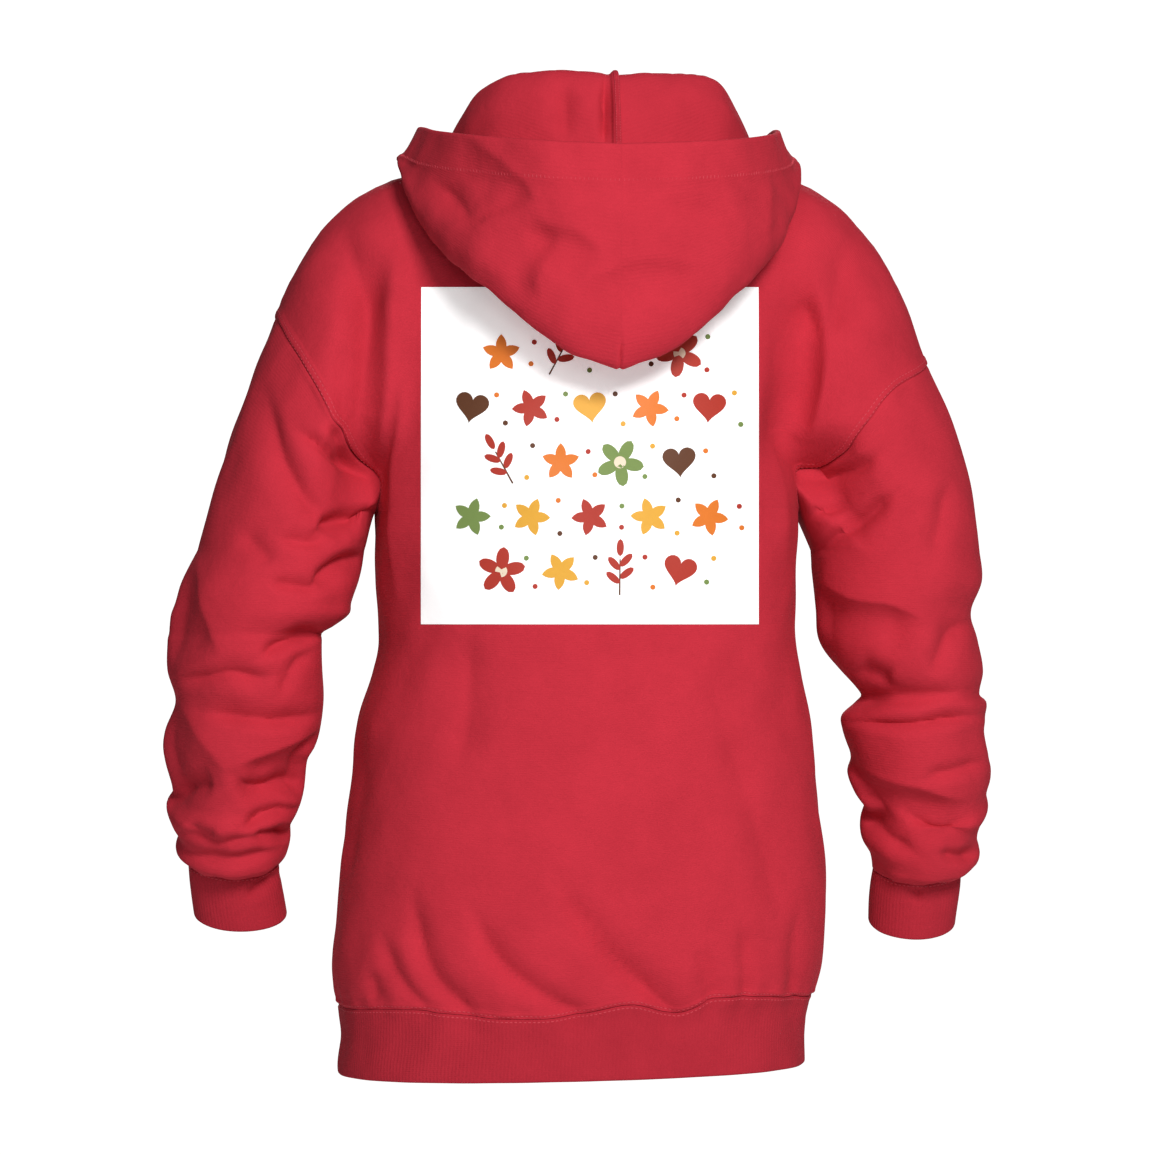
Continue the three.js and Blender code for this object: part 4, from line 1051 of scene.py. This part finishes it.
# The print. The real back carries a square transfer of white ink with small coloured pictures.
# Here the square is the same, but the pictures are plain stars, hearts, flowers, leaves and dots.
PRINT_LEFT, PRINT_RIGHT, PRINT_LOW, PRINT_HIGH = -105.6, 105.0, -271.2, -60.6
FILM = 0.4
back_faces = grid_faces(*back_points.shape[:2], False, False)
back_tree = BVHTree.FromPolygons(back_points.reshape(-1, 3).tolist(), back_faces.tolist())
eye = Vector((VIEW_X + VIEW_DISTANCE * sin(VIEW_TURN), -VIEW_DISTANCE * cos(VIEW_TURN), VIEW_Z))


def on_back(x, z, lift):
    """The place on the back that shows at x and z to the photographer, lifted off the cloth."""
    aim = Vector((VIEW_X + (x - VIEW_X) * cos(VIEW_TURN), (x - VIEW_X) * sin(VIEW_TURN), z))
    place, normal, _, _ = back_tree.ray_cast(eye, (aim - eye).normalized())
    if normal.y > 0:
        normal = -normal
    return place + normal * lift


def ink(name, colour, roughness=0.5, glow=0.0):
    """Screen ink: nearly even, with the cloth's grain showing through it."""
    material, shader, add = new_material(name)
    place = add("TexCoord", "Object")
    waves = add("TexNoise", "Fac", Vector=place, Scale=120, Detail=3.0)
    grain = add("TexNoise", "Fac", Vector=place, Scale=900, Detail=3.0)
    even = add("Mix", "Result", data_type="RGBA", A=(*[c * 0.93 for c in colour], 1), B=(*colour, 1),
               Factor=waves)
    relief = add("Bump", "Normal", Height=grain, Distance=0.00012, Strength=0.8)
    # A glow above 0 is painted light: the ink shines by itself, so shade on it looks lighter.
    fill(shader, Base_Color=even, Normal=relief, Roughness=roughness, Specular_IOR_Level=0.2,
         Emission_Color=(1, 1, 1, 1), Emission_Strength=glow)
    return material


def film(name, spots, faces, materials):
    """A film of ink: its face, and a narrow edge that goes down into the cloth."""
    return sewn(new_piece(name, spots, faces, materials, sharp=50))


def white_square():
    count = 106
    xs, zs = np.linspace(PRINT_LEFT, PRINT_RIGHT, count), np.linspace(PRINT_LOW, PRINT_HIGH, count)
    spots = [on_back(x, z, FILM) for z in zs for x in xs]
    faces = grid_faces(count, count, False, False).tolist()
    at = np.arange(count * count).reshape(count, count)
    border = np.concatenate([at[0], at[1:, -1], at[-1, -2::-1], at[-2:0:-1, 0]]).tolist()
    start, around = len(spots), len(border)
    spots += [on_back(xs[i % count], zs[i // count], -FILM) for i in border]
    faces += [[border[k], start + k, start + (k + 1) % around, border[(k + 1) % around]]
              for k in range(around)]
    # The real ink shows evenly white, even in the hood's shade, so this one glows a little: painted
    # light that lifts the hood's shadow and the fold shading off the square.
    return film("print-square", spots, faces, [ink("white ink with painted glow", (0.93, 0.93, 0.93), 0.6, 0.3)])


print_square = white_square()
inks = {
    "orange": (0.76, 0.2, 0.03), "moss": (0.2, 0.29, 0.085), "brown": (0.13, 0.05, 0.025),
    "brick": (0.45, 0.045, 0.03), "mustard": (0.78, 0.4, 0.05), "cream": (0.87, 0.73, 0.55),
}
ink_order = list(inks)


def outline(count, radius):
    """A closed shape, from its radius at each turn away from straight up."""
    turn = 2 * pi * np.arange(count) / count
    size = radius(turn)
    return np.column_stack([size * np.sin(turn), size * np.cos(turn)])


def star_edge(turn):
    return 1 - 0.54 * np.abs((turn * 5 / (2 * pi) + 0.5) % 1 - 0.5) * 2


LEAF_WIDTH = 0.42


def leaf_edge(turn):
    return LEAF_WIDTH / np.sqrt(np.sin(turn) ** 2 + (LEAF_WIDTH * np.cos(turn)) ** 2)


star, dot, leaf = (outline(n, f) for n, f in ((40, star_edge), (20, np.ones_like), (20, leaf_edge)))
bow = 2 * pi * np.arange(40) / 40
heart = np.column_stack([16 * np.sin(bow) ** 3, 13 * np.cos(bow) - 5 * np.cos(2 * bow)
                         - 2 * np.cos(3 * bow) - np.cos(4 * bow) + 2]) / 17


def placed(shape, x, z, size, turn=0.0):
    spin = np.array([[cos(turn), sin(turn)], [-sin(turn), cos(turn)]])
    return shape * size @ spin.T + (x, z)


def flower(x, z, size, petal, heart_ink, turn):
    parts = []
    for k in range(5):
        a = turn + 2 * pi * k / 5
        parts.append((placed(leaf * (1.35, 1), x + sin(a) * size * 0.58, z + cos(a) * size * 0.58,
                             size * 0.5, a), petal))
    return parts + [(placed(dot, x, z, size * 0.27), heart_ink)]


def sprig(x, z, size, leaf_ink, stem_ink, turn):
    stem = np.array([(-0.035, -1), (0.035, -1), (0.03, -0.3), (0.025, 0.5), (-0.025, 0.5),
                     (-0.03, -0.3)])
    parts = [(placed(stem, x, z, size, turn), stem_ink)]
    for at, lean in ((-0.5, -0.9), (-0.3, 0.9), (0.05, -0.75), (0.2, 0.75), (0.62, 0)):
        a = turn + lean
        bx, bz = x + sin(turn) * at * size, z + cos(turn) * at * size
        parts.append((placed(leaf, bx + sin(a) * size * 0.36, bz + cos(a) * size * 0.36,
                             size * 0.36, a), leaf_ink))
    return parts


TOP_ROW, ROW_PITCH, COLUMN_PITCH = -102, 34, 37
motifs = []
for row in range(5):
    z = TOP_ROW - row * ROW_PITCH
    columns = 4 + row % 2
    for column in range(columns):
        x = (column - (columns - 1) / 2) * COLUMN_PITCH
        pick = (row * 3 + column * 5 + row * column + (row == 0)) % 4
        kind = ("flower", "star", "sprig", "heart")[pick]
        tint = ink_order[(row * 2 + column) % 5]
        other = ink_order[(row * 2 + column + 3) % 5]
        turn = 0.5 * sin(row * 2.3 + column * 1.7)
        if kind == "flower":
            motifs += flower(x, z, 14, tint, "cream" if tint != "cream" else "brown", turn)
        elif kind == "star":
            motifs.append((placed(star, x, z, 12, turn), "mustard" if tint == "brown" else tint))
        elif kind == "sprig":
            motifs += sprig(x, z, 15, "moss" if row % 2 else "brick", "brown", turn)
        else:
            motifs.append((placed(heart, x, z, 11, turn * 0.5), "brick" if tint == "moss" else tint))
        for k in range(2):
            a = 2.1 * row + 3.3 * column + 2.4 * k
            motifs.append((placed(dot, x + 18.5 + 3 * sin(a), z + (k - 0.5) * 17 + 2 * cos(a),
                                  1.6), other if k else tint))


def motif_film():
    """The small pictures as one film, each with its own ink, on top of the square."""
    spots, faces, edges, tints = [], [], [], []
    for layer, (shape, tint) in enumerate(motifs):
        lift = 0.62 + 0.05 * (layer % 3)
        middle, n, start = shape.mean(0), len(shape), len(spots)
        rings = [shape * t + middle * (1 - t) for t in (1.0, 0.66, 0.33)]
        spots += [on_back(x, z, lift) for ring_points in rings for x, z in ring_points]
        spots.append(on_back(*middle, lift))
        spots += [on_back(x, z, 0.2) for x, z in shape]
        for k in range(n):
            m = (k + 1) % n
            for r in range(2):
                a, b = start + r * n, start + (r + 1) * n
                faces.append([a + k, a + m, b + m, b + k])
            faces.append([start + 2 * n + k, start + 2 * n + m, start + 3 * n])
            edges.append([start + k, start + 3 * n + 1 + k, start + 3 * n + 1 + m, start + m])
        tints += [ink_order.index(tint)] * n
    piece = film("print-motifs", spots, faces + edges,
                 [ink(tint + " ink", colour) for tint, colour in inks.items()])
    marks = [tint for tint in tints for _ in range(3)] + tints
    piece.data.polygons.foreach_set("material_index", marks)
    return piece


print_motifs = motif_film()

# The room. A pale floor and a pale card behind, with soft light mostly from the camera's side.
# The places of the lamps and of the camera are in metres.
scene = bpy.context.scene
scene.view_settings.view_transform = "Standard"


def plain(name, colour, glow):
    material, shader, _ = new_material(name)
    fill(shader, Base_Color=(*colour, 1), Roughness=0.9, Emission_Color=(1, 1, 1, 1),
         Emission_Strength=glow)
    return material


def card(name, corners, material):
    new_piece(name, corners, [(0, 1, 2, 3)], [material])


FLOOR_Z, CARD_Y = -930, 6000
card("floor", [(-1500, -1600, FLOOR_Z), (1500, -1600, FLOOR_Z), (1500, 2500, FLOOR_Z),
               (-1500, 2500, FLOOR_Z)], plain("pale floor", (0.8, 0.8, 0.8), 0.1))
card("backdrop", [(-2200, CARD_Y, -1500), (2200, CARD_Y, -1500), (2200, CARD_Y, 2000),
                  (-2200, CARD_Y, 2000)], plain("pale card", (0.9, 0.9, 0.9), 0.9))

world = bpy.data.worlds.new("soft room")
world.use_nodes = True
fill(world.node_tree.nodes["Background"], Color=(1, 1, 1, 1), Strength=0.1)
scene.world = world


LIT_SPOT = Vector((0, 0, -0.25))


def soft_light(name, place, size, power):
    light = bpy.data.lights.new(name, "AREA")
    light.size = size
    light.energy = power
    lamp = bpy.data.objects.new(name, light)
    lamp.location = place
    lamp.rotation_euler = (LIT_SPOT - Vector(place)).to_track_quat("-Z", "Y").to_euler()
    scene.collection.objects.link(lamp)


soft_light("key", (0.5, -2.5, 1.0), 0.7, 66)
soft_light("fill", (-0.5, -3.0, 0.7), 1.2, 18)
soft_light("front fill", (0.4, 2.4, 1.1), 0.9, 22)

aim = Vector((VIEW_X * 0.001, 0, VIEW_Z * 0.001))
camera_data = bpy.data.cameras.new("camera")
camera_data.lens = 149.6
camera_data.sensor_width = 36
camera = bpy.data.objects.new("camera", camera_data)
camera.location = aim + Vector((sin(VIEW_TURN), -cos(VIEW_TURN), 0)) * (VIEW_DISTANCE * 0.001)
camera.rotation_euler = (aim - camera.location).to_track_quat("-Z", "Y").to_euler()
scene.collection.objects.link(camera)
scene.camera = camera
